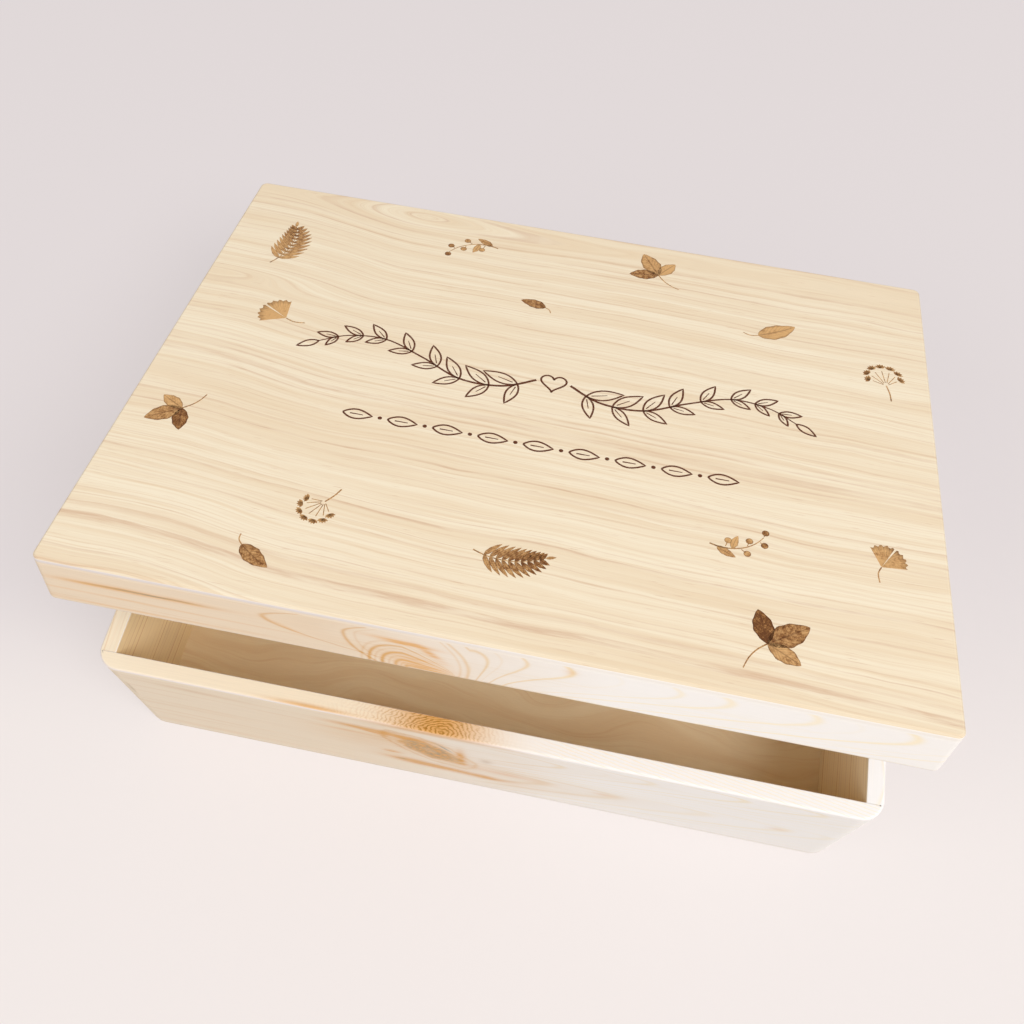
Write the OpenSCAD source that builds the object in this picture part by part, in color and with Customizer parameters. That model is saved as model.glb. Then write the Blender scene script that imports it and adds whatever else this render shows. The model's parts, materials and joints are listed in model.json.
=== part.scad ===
// Keepsake box: a low pine case with a hinged tray lid.
// Frame: X to the right, Y to the back, Z up; the origin is the centre of the underside.
// The lid is drawn ajar, swung up about the hinge pins at the top of the back board.

/* [Box] */
// Outer width, left to right
box_w = 400; // [300:5:500]
// Outer depth, front to back
box_d = 300; // [220:5:400]
// Height of the case, with its bottom panel
base_h = 95; // [70:1:140]
// Height of the lid, with its top panel
lid_h = 30; // [24:1:50]
// How far the lid stands open, in degrees
lid_open = 13.5; // [0:0.5:105]

/* [Boards] */
// Thickness of the solid boards and rails
wall_t = 9; // [8:0.5:12]
// Thickness of the plywood top and bottom panels
panel_t = 4; // [3:0.5:6]
// Radius of the upright corners of the case
base_corner_r = 12; // [5:0.5:16]
// Radius of the upright corners of the lid
lid_corner_r = 4; // [3:0.5:16]
// Radius of the sanded outer edges
edge_r = 1.5; // [1:0.25:2]
// Gap between the closed lid and the rim
lid_gap = 0.4; // [0.3:0.1:0.6]

/* [Dowels] */
// Diameter of the corner dowels
dowel_d = 4; // [3:0.5:4]
// Depth of a dowel in the front or back board
dowel_in_board = 4.5; // [3:0.5:4.5]
// Depth of a dowel in the end of a side board
dowel_in_side = 11; // [8:1:20]
// Number of dowels in each corner of the case
base_dowels = 2; // [1:1:3]

/* [Hinges] */
// Length of a hinge along its pin
hinge_l = 30; // [24:1:40]
// Distance of each hinge from the middle of the box
hinge_x = 125; // [60:5:130]
// Thickness of a hinge leaf
leaf_t = 1; // [0.8:0.1:1.2]
// Width of a leaf from the pin axis
leaf_w = 7; // [6.5:0.25:7.5]
// Outer radius of the knuckles
knuckle_r = 1.75; // [1.6:0.05:1.9]
// Radius of the hinge pin
pin_r = 0.75; // [0.6:0.05:0.9]
// Depth of the pin axis inside the back face
pin_inset = 0.8; // [0.6:0.05:0.9]
// Shank radius of the hinge screws
screw_r = 0.8; // [0.6:0.1:1]
// Length of the hinge screws
screw_l = 10; // [8:0.5:14]
// Spacing of the two screws in a leaf
screw_pitch = 18; // [14:1:20]

/* [Hidden] */
$fn = 64;

pine = [0.93, 0.83, 0.66];
pine_side = [0.90, 0.79, 0.61];
plywood = [0.90, 0.82, 0.68];
printed_top = [0.95, 0.88, 0.76];
beech = [0.80, 0.62, 0.42];
brass = [0.80, 0.66, 0.36];
steel = [0.72, 0.70, 0.66];

over = 1;                                   // how far a cutter runs past a face
axis_y = box_d / 2 - pin_inset;             // hinge pin axis
axis_z = base_h + lid_gap / 2;
lid_z = base_h + lid_gap;                   // underside of the closed lid
rail_top = lid_z + lid_h - panel_t;         // top of the lid rails
inner_y = box_d / 2 - wall_t;               // inner faces of the front and back boards

dowel_x = box_w / 2 - wall_t / 2 - 0.5;     // a little outside the middle of the side board
dowel_fit = 0.02;                           // glue line round a dowel
dowel_cut = 0.5;                            // end space in a dowel hole

leaf_gap = lid_gap;                         // the leaves lie flush with the wood
leaf_play = 0.1;                            // play of a leaf in its recess
groove_r = knuckle_r + 0.3;                 // groove in the wood round the knuckles
knuckle_gap = 0.2;                          // end play between two knuckles
pin_play = 0.05;                            // running clearance on the pin
pin_head_r = 1.2;
pin_head_l = 0.4;
screw_y = axis_y - 4.5;                     // row of the hinge screws
screw_head_r = 1.6;
screw_head_h = 0.8;
slot_w = 0.4;                               // driver slot in a screw head
slot_depth = 0.35;
hole_play = 0.05;                           // play of a screw in its leaf

// ---------------------------------------------------------------- wood forms

// Half of a plate's cross-section: x from the middle to the outer face, y upwards.
module edge_profile(half, z0, z1, r_low, r_high) {
    difference() {
        translate([0, z0])
            square([half, z1 - z0]);
        if (r_low > 0)
            translate([half - r_low, z0 + r_low])
                edge_waste(r_low, -1);
        if (r_high > 0)
            translate([half - r_high, z1 - r_high])
                edge_waste(r_high, 1);
    }
}

// What sanding takes off one outer edge; up is 1 for an upper edge and -1 for a lower one.
module edge_waste(r, up) {
    difference() {
        mirror([0, up > 0 ? 0 : 1])
            square(r + over);
        circle(r);
    }
}

// A straight stretch of the plate, running along X and w long.
module plate_bar(w, d, z0, z1, r_low, r_high) {
    rotate([90, 0, 90])
        translate([0, 0, -w / 2])
            linear_extrude(w)
                union() {
                    edge_profile(d / 2, z0, z1, r_low, r_high);
                    mirror([1, 0])
                        edge_profile(d / 2, z0, z1, r_low, r_high);
                }
}

// A plate with the outline of the box, rounded upright corners and sanded outer edges.
// The case and the lid are each rounded as one piece, after they are glued up.
module sanded_plate(corner_r, z0, z1, r_low = 0, r_high = 0) {
    plate_bar(box_w - 2 * corner_r, box_d, z0, z1, r_low, r_high);
    rotate(90)
        plate_bar(box_d - 2 * corner_r, box_w, z0, z1, r_low, r_high);
    for (turn = [0:3]) {
        right = turn == 0 || turn == 3 ? 1 : -1;
        back = turn < 2 ? 1 : -1;
        translate([right * (box_w / 2 - corner_r), back * (box_d / 2 - corner_r), 0])
            rotate(90 * turn)
                rotate_extrude(angle = 90)
                    edge_profile(corner_r, z0, z1, r_low, r_high);
    }
}

// The room of the front board (side -1) or back board (side 1), over the full width.
module long_board_room(side, z0, z1) {
    translate([-box_w / 2 - over, side > 0 ? inner_y : -box_d / 2 - over, z0])
        cube([box_w + 2 * over, wall_t + over, z1 - z0]);
}

// The room of the left board (side -1) or right board (side 1), between the long boards.
module side_board_room(side, z0, z1) {
    translate([side > 0 ? box_w / 2 - wall_t : -box_w / 2 - over, -inner_y, z0])
        cube([wall_t + over, 2 * inner_y, z1 - z0]);
}

module base_long_board(side) {
    intersection() {
        sanded_plate(base_corner_r, panel_t, base_h, r_high = edge_r);
        long_board_room(side, panel_t, base_h);
    }
}

module base_side_board(side) {
    difference() {
        intersection() {
            sanded_plate(base_corner_r, panel_t, base_h, r_high = edge_r);
            side_board_room(side, panel_t, base_h);
        }
        base_dowel_holes();
    }
}

module lid_long_rail(side) {
    intersection() {
        sanded_plate(lid_corner_r, lid_z, rail_top, r_low = edge_r);
        long_board_room(side, lid_z, rail_top);
    }
}

module lid_side_rail(side) {
    difference() {
        intersection() {
            sanded_plate(lid_corner_r, lid_z, rail_top, r_low = edge_r);
            side_board_room(side, lid_z, rail_top);
        }
        lid_dowel_holes();
    }
}

// Turns what is drawn with the lid closed to where the lid stands.
module swung() {
    translate([0, axis_y, axis_z])
        rotate([-lid_open, 0, 0])
            translate([0, -axis_y, -axis_z])
                children();
}

// ---------------------------------------------------------------- dowels

// One rod at each corner and height, lying along Y across the joint.
module corner_rods(r, heights, extra) {
    length = dowel_in_board + dowel_in_side + 2 * extra;
    for (x = [-dowel_x, dowel_x], end = [-1, 1], z = heights)
        translate([x, end * (inner_y + dowel_in_board + extra), z])
            rotate([end * 90, 0, 0])
                cylinder(r = r, h = length);
}

base_rod_z = [for (i = [0:base_dowels - 1])
    panel_t + (base_h - panel_t) * (i + 0.5) / base_dowels];
lid_rod_z = [(lid_z + rail_top) / 2];

module base_dowel_holes() {
    corner_rods(dowel_d / 2 + dowel_fit, base_rod_z, dowel_cut / 2);
}

module lid_dowel_holes() {
    corner_rods(dowel_d / 2 + dowel_fit, lid_rod_z, dowel_cut / 2);
}

// ---------------------------------------------------------------- hinges

// A hinge part drawn at x = 0 with its pin on the X axis, moved to where it belongs.
module at_hinge(side) {
    translate([side * hinge_x, axis_y, axis_z])
        children();
}

module rod_x(r, length) {
    rotate([0, 90, 0])
        translate([0, 0, -length / 2])
            cylinder(r = r, h = length);
}

third = hinge_l / 3;

// One knuckle from x0 on, with the web that joins it to its leaf; up is 1 for the lid's leaf.
module knuckle(x0, length, up) {
    translate([x0 + length / 2, 0, 0])
        rod_x(knuckle_r, length);
    translate([x0, -knuckle_r - 0.5, up > 0 ? leaf_gap / 2 : -leaf_gap / 2 - leaf_t])
        cube([length, knuckle_r + 0.5, leaf_t]);
}

// A leaf with its knuckles; the case's leaf has the two outer ones, the lid's the middle one.
module leaf(up) {
    flat_w = leaf_w - knuckle_r - 0.3;
    difference() {
        union() {
            translate([-hinge_l / 2, -leaf_w, up > 0 ? leaf_gap / 2 : -leaf_gap / 2 - leaf_t])
                cube([hinge_l, flat_w, leaf_t]);
            if (up > 0)
                knuckle(-third / 2 + knuckle_gap / 2, third - knuckle_gap, up);
            else
                for (x0 = [-hinge_l / 2, third / 2 + knuckle_gap / 2])
                    knuckle(x0, third - knuckle_gap / 2, up);
        }
        rod_x(pin_r + pin_play, hinge_l + 2 * over);
        for (x = [-screw_pitch / 2, screw_pitch / 2])
            translate([x, screw_y - axis_y, 0])
                mirror([0, 0, up > 0 ? 1 : 0])
                    screw_seat();
    }
}

// The countersunk hole of a leaf, for a screw whose head faces up.
module screw_seat() {
    translate([0, 0, -leaf_gap / 2 - screw_head_h])
        cylinder(r1 = screw_r + hole_play, r2 = screw_head_r + hole_play, h = screw_head_h);
    translate([0, 0, -leaf_gap / 2 - leaf_t - over])
        cylinder(r = screw_r + hole_play, h = leaf_t + over);
}

// A slotted countersunk screw whose head faces up, flush with the leaf.
module screw() {
    difference() {
        union() {
            translate([0, 0, -screw_head_h])
                cylinder(r1 = screw_r, r2 = screw_head_r, h = screw_head_h);
            translate([0, 0, -screw_l])
                cylinder(r = screw_r, h = screw_l - screw_head_h);
        }
        translate([-screw_head_r - over, -slot_w / 2, -slot_depth])
            cube([2 * (screw_head_r + over), slot_w, slot_depth + over]);
    }
}

module screws(up) {
    for (side = [-1, 1], x = [-screw_pitch / 2, screw_pitch / 2])
        at_hinge(side)
            translate([x, screw_y - axis_y, 0])
                mirror([0, 0, up > 0 ? 1 : 0])
                    translate([0, 0, -leaf_gap / 2])
                        screw();
}

// The pin, with a small head peened on each end.
module pin() {
    rod_x(pin_r, hinge_l);
    for (end = [-1, 1])
        translate([end * (hinge_l + pin_head_l) / 2, 0, 0])
            rod_x(pin_head_r, pin_head_l);
}

// What is let into a back board: a groove for the knuckles, a recess and pilot holes.
module hinge_recess(up) {
    room_l = hinge_l + 2 * pin_head_l + 0.6;
    for (side = [-1, 1])
        at_hinge(side) {
            rod_x(groove_r, room_l);
            translate([-hinge_l / 2 - leaf_play, -leaf_w - leaf_play,
                       up > 0 ? -over : -leaf_gap / 2 - leaf_t])
                cube([hinge_l + 2 * leaf_play, leaf_w + leaf_play, leaf_gap / 2 + leaf_t + over]);
            for (x = [-screw_pitch / 2, screw_pitch / 2])
                translate([x, screw_y - axis_y, up > 0 ? 0 : -screw_l - leaf_gap / 2 - 0.5])
                    cylinder(r = screw_r + 0.02, h = screw_l + leaf_gap / 2 + 0.5);
        }
}

// ---------------------------------------------------------------- the case

module base_front_board() {
    color(pine)
        difference() {
            base_long_board(-1);
            base_dowel_holes();
        }
}

module base_back_board() {
    color(pine)
        difference() {
            base_long_board(1);
            base_dowel_holes();
            hinge_recess(-1);
        }
}

module base_left_board() {
    color(pine_side)
        base_side_board(-1);
}

module base_right_board() {
    color(pine_side)
        base_side_board(1);
}

module base_bottom_panel() {
    color(plywood)
        sanded_plate(base_corner_r, 0, panel_t, r_low = edge_r / 2);
}

module base_corner_dowels() {
    color(beech)
        corner_rods(dowel_d / 2, base_rod_z, 0);
}

// ---------------------------------------------------------------- the lid

module lid_front_rail() {
    color(pine)
        swung()
            difference() {
                lid_long_rail(-1);
                lid_dowel_holes();
            }
}

module lid_back_rail() {
    color(pine)
        swung()
            difference() {
                lid_long_rail(1);
                lid_dowel_holes();
                hinge_recess(1);
            }
}

module lid_left_rail() {
    color(pine_side)
        swung()
            lid_side_rail(-1);
}

module lid_right_rail() {
    color(pine_side)
        swung()
            lid_side_rail(1);
}

module lid_top_panel() {
    color(printed_top)
        swung()
            sanded_plate(lid_corner_r, rail_top, rail_top + panel_t, r_high = edge_r);
}

module lid_corner_dowels() {
    color(beech)
        swung()
            corner_rods(dowel_d / 2, lid_rod_z, 0);
}

// ---------------------------------------------------------------- the hinges

module left_hinge_base_leaf() {
    color(brass)
        at_hinge(-1)
            leaf(-1);
}

module left_hinge_lid_leaf() {
    color(brass)
        swung()
            at_hinge(-1)
                leaf(1);
}

module left_hinge_pin() {
    color(steel)
        at_hinge(-1)
            pin();
}

module right_hinge_base_leaf() {
    color(brass)
        at_hinge(1)
            leaf(-1);
}

module right_hinge_lid_leaf() {
    color(brass)
        swung()
            at_hinge(1)
                leaf(1);
}

module right_hinge_pin() {
    color(steel)
        at_hinge(1)
            pin();
}

module hinge_screws_base() {
    color(brass)
        screws(-1);
}

module hinge_screws_lid() {
    color(brass)
        swung()
            screws(1);
}

base_front_board();
base_back_board();
base_left_board();
base_right_board();
base_bottom_panel();
base_corner_dowels();
lid_front_rail();
lid_back_rail();
lid_left_rail();
lid_right_rail();
lid_top_panel();
lid_corner_dowels();
left_hinge_base_leaf();
left_hinge_lid_leaf();
left_hinge_pin();
right_hinge_base_leaf();
right_hinge_lid_leaf();
right_hinge_pin();
hinge_screws_base();
hinge_screws_lid();
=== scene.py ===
"""Looks of the keepsake box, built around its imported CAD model.

The file is laid out as a Blender add-on and is run as a script: each operator makes one group of
pieces, and main() calls them in order. Lengths are in metres, in the frame of the CAD model: +X to
the right, +Y to the back, +Z up. The lid's pieces are drawn with the lid shut, in objects that are
then swung to where the lid stands, so that the figure of the wood runs on from case to lid.
"""

import json
import math

import bmesh
import bpy
from bpy.props import FloatProperty, FloatVectorProperty, PointerProperty
from mathutils import Matrix, Vector


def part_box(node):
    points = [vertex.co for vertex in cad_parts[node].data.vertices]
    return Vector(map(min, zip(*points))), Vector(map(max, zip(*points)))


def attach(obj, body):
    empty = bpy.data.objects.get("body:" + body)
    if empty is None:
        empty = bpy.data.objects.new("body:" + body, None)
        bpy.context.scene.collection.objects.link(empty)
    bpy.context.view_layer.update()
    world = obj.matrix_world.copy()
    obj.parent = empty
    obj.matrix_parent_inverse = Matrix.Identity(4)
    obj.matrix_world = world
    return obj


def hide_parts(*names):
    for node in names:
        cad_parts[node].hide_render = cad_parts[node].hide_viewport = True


bl_info = {
    "name": "Keepsake box",
    "version": (1, 0, 0),
    "blender": (4, 5, 0),
    "location": "3D View > Sidebar > Keepsake box",
    "description": "Builds the looks of a pine keepsake box around its CAD frame",
    "category": "Object",
}

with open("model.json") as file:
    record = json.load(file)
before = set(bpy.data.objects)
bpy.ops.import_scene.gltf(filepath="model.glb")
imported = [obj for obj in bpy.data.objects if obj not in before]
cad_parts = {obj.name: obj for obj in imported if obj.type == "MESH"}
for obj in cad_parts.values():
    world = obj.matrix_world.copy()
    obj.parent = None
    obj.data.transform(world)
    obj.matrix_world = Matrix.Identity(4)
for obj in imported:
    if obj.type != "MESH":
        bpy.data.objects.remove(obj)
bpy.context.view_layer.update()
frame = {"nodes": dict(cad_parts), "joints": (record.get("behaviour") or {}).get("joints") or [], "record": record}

MM = 0.001
PER_MM = 1000.0

# ------------------------------------------------------------------ measures taken from the frame

HINGE = frame["joints"][0]
HINGE_POINT = Vector(HINGE["pos_m"])
OPEN_ANGLE = -math.radians(HINGE["range_deg"][0])
LID_SWING = (
    Matrix.Translation(HINGE_POINT)
    @ Matrix.Rotation(OPEN_ANGLE, 4, Vector(HINGE["axis"]))
    @ Matrix.Translation(-HINGE_POINT)
)


def shut_box(node):
    """Lowest and highest corners of a lid's node, as they are with the lid shut."""
    unswing = LID_SWING.inverted()
    corners = [unswing @ v.co for v in frame["nodes"][node].data.vertices]
    low = Vector(min(c[axis] for c in corners) for axis in range(3))
    high = Vector(max(c[axis] for c in corners) for axis in range(3))
    return low, high


CASE_LOW, CASE_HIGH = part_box("base_bottom_panel")
FRONT_LOW, FRONT_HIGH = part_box("base_front_board")
RAIL_LOW, RAIL_HIGH = shut_box("lid_front_rail")
TOP_LOW, TOP_HIGH = shut_box("lid_top_panel")

HALF_W = CASE_HIGH.x
HALF_D = CASE_HIGH.y
WALL = FRONT_HIGH.y - FRONT_LOW.y
INNER_X = HALF_W - WALL
INNER_Y = HALF_D - WALL
RIM_Z = FRONT_HIGH.z
LID_TOP_Z = TOP_HIGH.z

# ------------------------------------------------------------------ settings


def tone(red, green, blue):
    """Linear colour of a tone that is given in steps of 0 to 255."""

    def channel(step):
        value = step / 255
        return value / 12.92 if value <= 0.04045 else ((value + 0.055) / 1.055) ** 2.4

    return channel(red), channel(green), channel(blue)


def colour_setting(label, text, value):
    """A colour that the user can change."""
    return FloatVectorProperty(
        name=label, description=text, default=value, size=3, min=0.0, max=1.0, subtype="COLOR"
    )


def length_setting(label, text, value):
    """A length that the user can change."""
    return FloatProperty(name=label, description=text, default=value, min=0.0, unit="LENGTH")


class KeepsakeSizes(bpy.types.PropertyGroup):
    """Sizes that the frame doesn't give as the box of a node."""

    case_corner: length_setting("Case corner", "Radius of the case's upright corners", 12 * MM)
    lid_corner: length_setting("Lid corner", "Radius of the lid's upright corners", 4 * MM)
    sanded: length_setting("Sanded edge", "Radius of the sanded outer edges", 1.5 * MM)
    eased: length_setting("Eased edge", "Radius of the other edges of the boards", 0.5 * MM)
    seam: length_setting("Seam", "Radius of the edges along a glued seam", 0.1 * MM)
    leaf_thickness: length_setting("Leaf thickness", "Thickness of a hinge leaf", 1 * MM)
    leaf_play: length_setting("Leaf play", "Room round a leaf in its recess", 0.1 * MM)
    knuckle_play: length_setting("Knuckle play", "Room round the knuckles", 0.3 * MM)
    ink: length_setting("Ink", "Height of the ink above the lid", 0.03 * MM)


class KeepsakeColours(bpy.types.PropertyGroup):
    """Colours of the wood, the print, the metal and the stage."""

    # Tones of the pine. The tones at the right are paler than those at the left: partly sapwood, partly painted
    # light that stands in for the stronger light at the right.
    heart_pale: colour_setting("Heartwood, rail", "Pale wood of the lid, left", tone(231, 210, 184))
    # The case's tones are lighter and greyer than the rail's, though both are cut from one board: painted light
    # that makes up for the dimmer, cooler light on the case.
    heart_case_and_light: colour_setting("Heartwood, case", "Pale wood of the case, left", tone(241, 224, 200))
    heart_dark: colour_setting("Heartwood, late", "Dark lines at the left", tone(210, 154, 82))
    sap_and_light_rail: colour_setting("Sapwood, rail", "Pale wood of the lid, right", tone(246, 240, 234))
    sap_and_light_case: colour_setting("Sapwood, case", "Pale wood of the case, right", tone(251, 246, 241))
    sap_and_light_late: colour_setting("Sapwood, late", "Dark lines at the right", tone(247, 229, 192))
    # Faces that point up take the rim tones: painted light that sets how bright the upper faces look.
    rim_heart_and_light: colour_setting("Rim, left", "Upper edges at the left", tone(241, 226, 200))
    rim_sap_and_light: colour_setting("Rim, right", "Upper edges at the right", tone(241, 238, 236))
    resin: colour_setting("Resin", "Streaks rich in resin", tone(223, 157, 62))
    stain: colour_setting("Stain", "Grey-blue lines in the knot", tone(150, 148, 136))
    # The sanded tones are partly the paler wood of the sanded edges and partly a painted reflection on their
    # rounding; the right-hand rim tone also serves as the painted highlight on the inner top edges.
    sanded: colour_setting("Sanded edge, left", "Pale wood of sanded edges", tone(223, 214, 212))
    sanded_sap_and_sheen: colour_setting("Sanded edge, right", "The same, right", tone(238, 231, 229))
    # The inside tone is lighter and more orange than the wood outside: painted light that stands in for the light
    # and the warm bounce inside the box.
    inside: colour_setting("Inside", "Pale wood inside the box", tone(255, 228, 176))
    ply_face: colour_setting("Plywood face", "Face of the plywood", tone(248, 227, 190))
    ply_edge: colour_setting("Plywood edge", "Long grain in the edge", tone(243, 232, 216))
    ply_end: colour_setting("Plywood end", "End grain in the edge", tone(228, 208, 180))
    top_pale: colour_setting("Top, pale", "Ground of the lid's face", tone(249, 234, 207))
    top_dark: colour_setting("Top, dark", "Broad bands of the lid's face", tone(237, 213, 179))
    top_streak: colour_setting("Top, streak", "Thin streaks in the lid's face", tone(214, 176, 142))
    line_ink: colour_setting("Line ink", "Ink of the ornament", tone(92, 44, 16))
    leaf_light: colour_setting("Leaf, light", "Light parts of a leaf", tone(226, 182, 126))
    leaf_brown: colour_setting("Leaf, brown", "Middle tone of a leaf", tone(172, 118, 64))
    leaf_dark: colour_setting("Leaf, dark", "Veins and edges of a leaf", tone(90, 50, 22))
    beech: colour_setting("Beech", "Dowels", tone(214, 170, 122))
    brass: colour_setting("Brass", "Hinges and screws", (0.80, 0.58, 0.26))
    steel: colour_setting("Steel", "Hinge pins", (0.62, 0.60, 0.57))
    floor_near: colour_setting("Floor, near", "Floor before the box", tone(238, 230, 227))
    floor_far: colour_setting("Floor, far", "Floor behind the box", tone(226, 218, 218))


def sizes():
    return bpy.context.scene.keepsake_sizes


def colours():
    return bpy.context.scene.keepsake_colours


# ------------------------------------------------------------------ shader formulas


class Field:
    """A value that changes over a surface; each step of a formula adds one node to its tree."""

    def __init__(self, tree, socket):
        self.tree = tree
        self.socket = socket

    def __add__(self, other):
        return calc("ADD", self, other)

    def __radd__(self, other):
        return calc("ADD", other, self)

    def __sub__(self, other):
        return calc("SUBTRACT", self, other)

    def __rsub__(self, other):
        return calc("SUBTRACT", other, self)

    def __mul__(self, other):
        return calc("MULTIPLY", self, other)

    def __rmul__(self, other):
        return calc("MULTIPLY", other, self)

    def __truediv__(self, other):
        return calc("DIVIDE", self, other)

    def __neg__(self):
        return calc("MULTIPLY", self, -1.0)


def plug(tree, socket, value):
    """Links a field to a socket, or sets the socket to a plain value."""
    if isinstance(value, Field):
        tree.links.new(value.socket, socket)
    elif socket.type == "RGBA" and len(value) == 3:
        socket.default_value = (*value, 1.0)
    else:
        socket.default_value = value


def add_node(tree, kind, values=None, **settings):
    """Adds a node, with its settings and the values of its named or numbered inputs."""
    node = tree.nodes.new(kind)
    for name, value in settings.items():
        setattr(node, name, value)
    for name, value in (values or {}).items():
        plug(tree, node.inputs[name], value)
    return node


def tree_of(*values):
    return next(value.tree for value in values if isinstance(value, Field))


def calc(operation, *values):
    tree = tree_of(*values)
    node = add_node(tree, "ShaderNodeMath", dict(enumerate(values)), operation=operation)
    return Field(tree, node.outputs[0])


def square(value):
    return value * value


def at_most(limit, value):
    return calc("MINIMUM", value, limit)


def at_least(limit, value):
    return calc("MAXIMUM", value, limit)


def hill(*offsets):
    """A bell that is 1 where all the offsets are 0, and falls away within about 1 of it."""
    total = square(offsets[0])
    for offset in offsets[1:]:
        total = total + square(offset)
    return calc("EXPONENT", -total)


def rise(value, low, high):
    """0 below low, 1 above high and smooth between them."""
    inputs = {"Value": value, "From Min": low, "From Max": high}
    node = add_node(value.tree, "ShaderNodeMapRange", inputs, interpolation_type="SMOOTHSTEP")
    return Field(value.tree, node.outputs[0])


def split(vector):
    node = add_node(vector.tree, "ShaderNodeSeparateXYZ", {0: vector})
    return [Field(vector.tree, socket) for socket in node.outputs]


def join(x, y, z):
    tree = tree_of(x, y, z)
    node = add_node(tree, "ShaderNodeCombineXYZ", {0: x, 1: y, 2: z})
    return Field(tree, node.outputs[0])


def scaled(vector, factors):
    node = add_node(vector.tree, "ShaderNodeVectorMath", {0: vector, 1: factors}, operation="MULTIPLY")
    return Field(vector.tree, node.outputs[0])


def noise(vector, detail=2.0, roughness=0.5, warp=0.0):
    """Noise about 1 unit across, from 0 to 1 and mostly near 0.5."""
    inputs = {
        "Vector": vector,
        "Scale": 1.0,
        "Detail": detail,
        "Roughness": roughness,
        "Distortion": warp,
    }
    node = add_node(vector.tree, "ShaderNodeTexNoise", inputs)
    return Field(vector.tree, node.outputs["Fac"])


def dice(value):
    """A random value from 0 to 1 for each whole number."""
    node = add_node(value.tree, "ShaderNodeTexWhiteNoise", {"W": value}, noise_dimensions="1D")
    return Field(value.tree, node.outputs["Value"])


def mix(share, first, second, blend="MIX"):
    """Blends two colours, of which either may be a field."""
    tree = tree_of(share, first, second)
    node = add_node(tree, "ShaderNodeMix", data_type="RGBA", blend_type=blend)
    plug(tree, node.inputs[0], share)
    plug(tree, node.inputs[6], first)
    plug(tree, node.inputs[7], second)
    return Field(tree, node.outputs[2])


def grey(value):
    """A colour with the same value in its three channels."""
    return join(value, value, value)


def shaded(colour, value):
    """A colour made lighter or darker by a value near 1."""
    return mix(1.0, colour, grey(value), "MULTIPLY")


SOCKET_KINDS = {"Place": "Vector", "Colour": "Color"}  # the other sockets of a group hold a value


def start_group(name, inputs, outputs):
    """Makes a shader node group; returns its input fields by label and its output node."""
    tree = bpy.data.node_groups.new(name, "ShaderNodeTree")
    for side, labels in (("INPUT", inputs), ("OUTPUT", outputs)):
        for label in labels:
            kind = "NodeSocket" + SOCKET_KINDS.get(label, "Float")
            tree.interface.new_socket(label, in_out=side, socket_type=kind)
    entry = tree.nodes.new("NodeGroupInput")
    fields = {label: Field(tree, entry.outputs[label]) for label in inputs}
    return fields, tree.nodes.new("NodeGroupOutput")


def end_group(out, **values):
    """Links the results of a group to its outputs, by label."""
    for label, value in values.items():
        plug(value.tree, out.inputs[label], value)


def use_group(tree, name, **values):
    """Places a group in a material; returns its outputs by label."""
    group = bpy.data.node_groups[name]
    node = add_node(tree, "ShaderNodeGroup", node_tree=group)
    for label, value in values.items():
        plug(tree, node.inputs[label.replace("_", " ")], value)
    return {socket.name: Field(tree, socket) for socket in node.outputs}


def start_material(name):
    """Makes a material; returns it with its tree, its shader and the place in millimetres."""
    material = bpy.data.materials.new(name)
    material.use_nodes = True
    tree = material.node_tree
    shader = next(n for n in tree.nodes if n.type == "BSDF_PRINCIPLED")
    coordinates = tree.nodes.new("ShaderNodeTexCoord")
    place = scaled(Field(tree, coordinates.outputs["Object"]), (PER_MM, PER_MM, PER_MM))
    return material, tree, shader, place


def facing_up(tree):
    """How far the surface faces up in the object's own frame: 1 up, 0 sideways, -1 down."""
    coordinates = tree.nodes.new("ShaderNodeTexCoord")
    return split(Field(tree, coordinates.outputs["Normal"]))[2]


DEFAULT_SPECULAR = 0.5
WOOD_SPECULAR = 0.3
INK_SPECULAR = 0.25


def finish_surface(
    tree, shader, colour, roughness, height=None, relief=0.1 * MM, specular=DEFAULT_SPECULAR
):
    """Gives a surface its colour, roughness and shine, and its relief where it has a height."""
    plug(tree, shader.inputs["Base Color"], colour)
    plug(tree, shader.inputs["Roughness"], roughness)
    shader.inputs["Specular IOR Level"].default_value = specular
    if height is not None:
        bump = add_node(tree, "ShaderNodeBump", {"Strength": 0.5, "Distance": relief, "Height": height})
        tree.links.new(bump.outputs[0], shader.inputs["Normal"])


# ------------------------------------------------------------------ shared effects

FRONT_MM = HALF_D * PER_MM


def lopsided(value, low_side, high_side):
    """A length measured in units that differ on its two sides."""
    below = at_most(0.0, value) / low_side
    return below + at_least(0.0, value) / high_side


def folded(x, height, below, above):
    """Where the tip lies, along X, of the ring line through a place at a height over its axis."""
    return x + square(lopsided(height, below, above))


def lines_at(level, lines):
    """Ring lines where a field reaches given levels, each with a half width and a darkness."""
    total = 0.0
    for place, half_width, share in lines:
        total = total + hill((level - place) / half_width) * share
    return total


def build_fibre():
    """Fine fibres along X, and faint long streaks among them."""
    given, out = start_group("Fibre", ("Place", "Seed"), ("Fibre", "Streak"))
    x, y, z = split(given["Place"])
    seed = given["Seed"]
    long_fibre = noise(join(x * 0.02, y * 1.7, z * 1.7 + seed), detail=3.0, roughness=0.6)
    short_fibre = noise(join(x * 0.10, y * 6.0, z * 6.0), detail=2.0)
    streak = noise(join(x * 0.008, y * 0.35, z * 0.45 + seed), detail=4.0, roughness=0.65)
    end_group(out, Fibre=long_fibre * 0.6 + short_fibre * 0.4, Streak=rise(streak, 0.52, 0.66))


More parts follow.
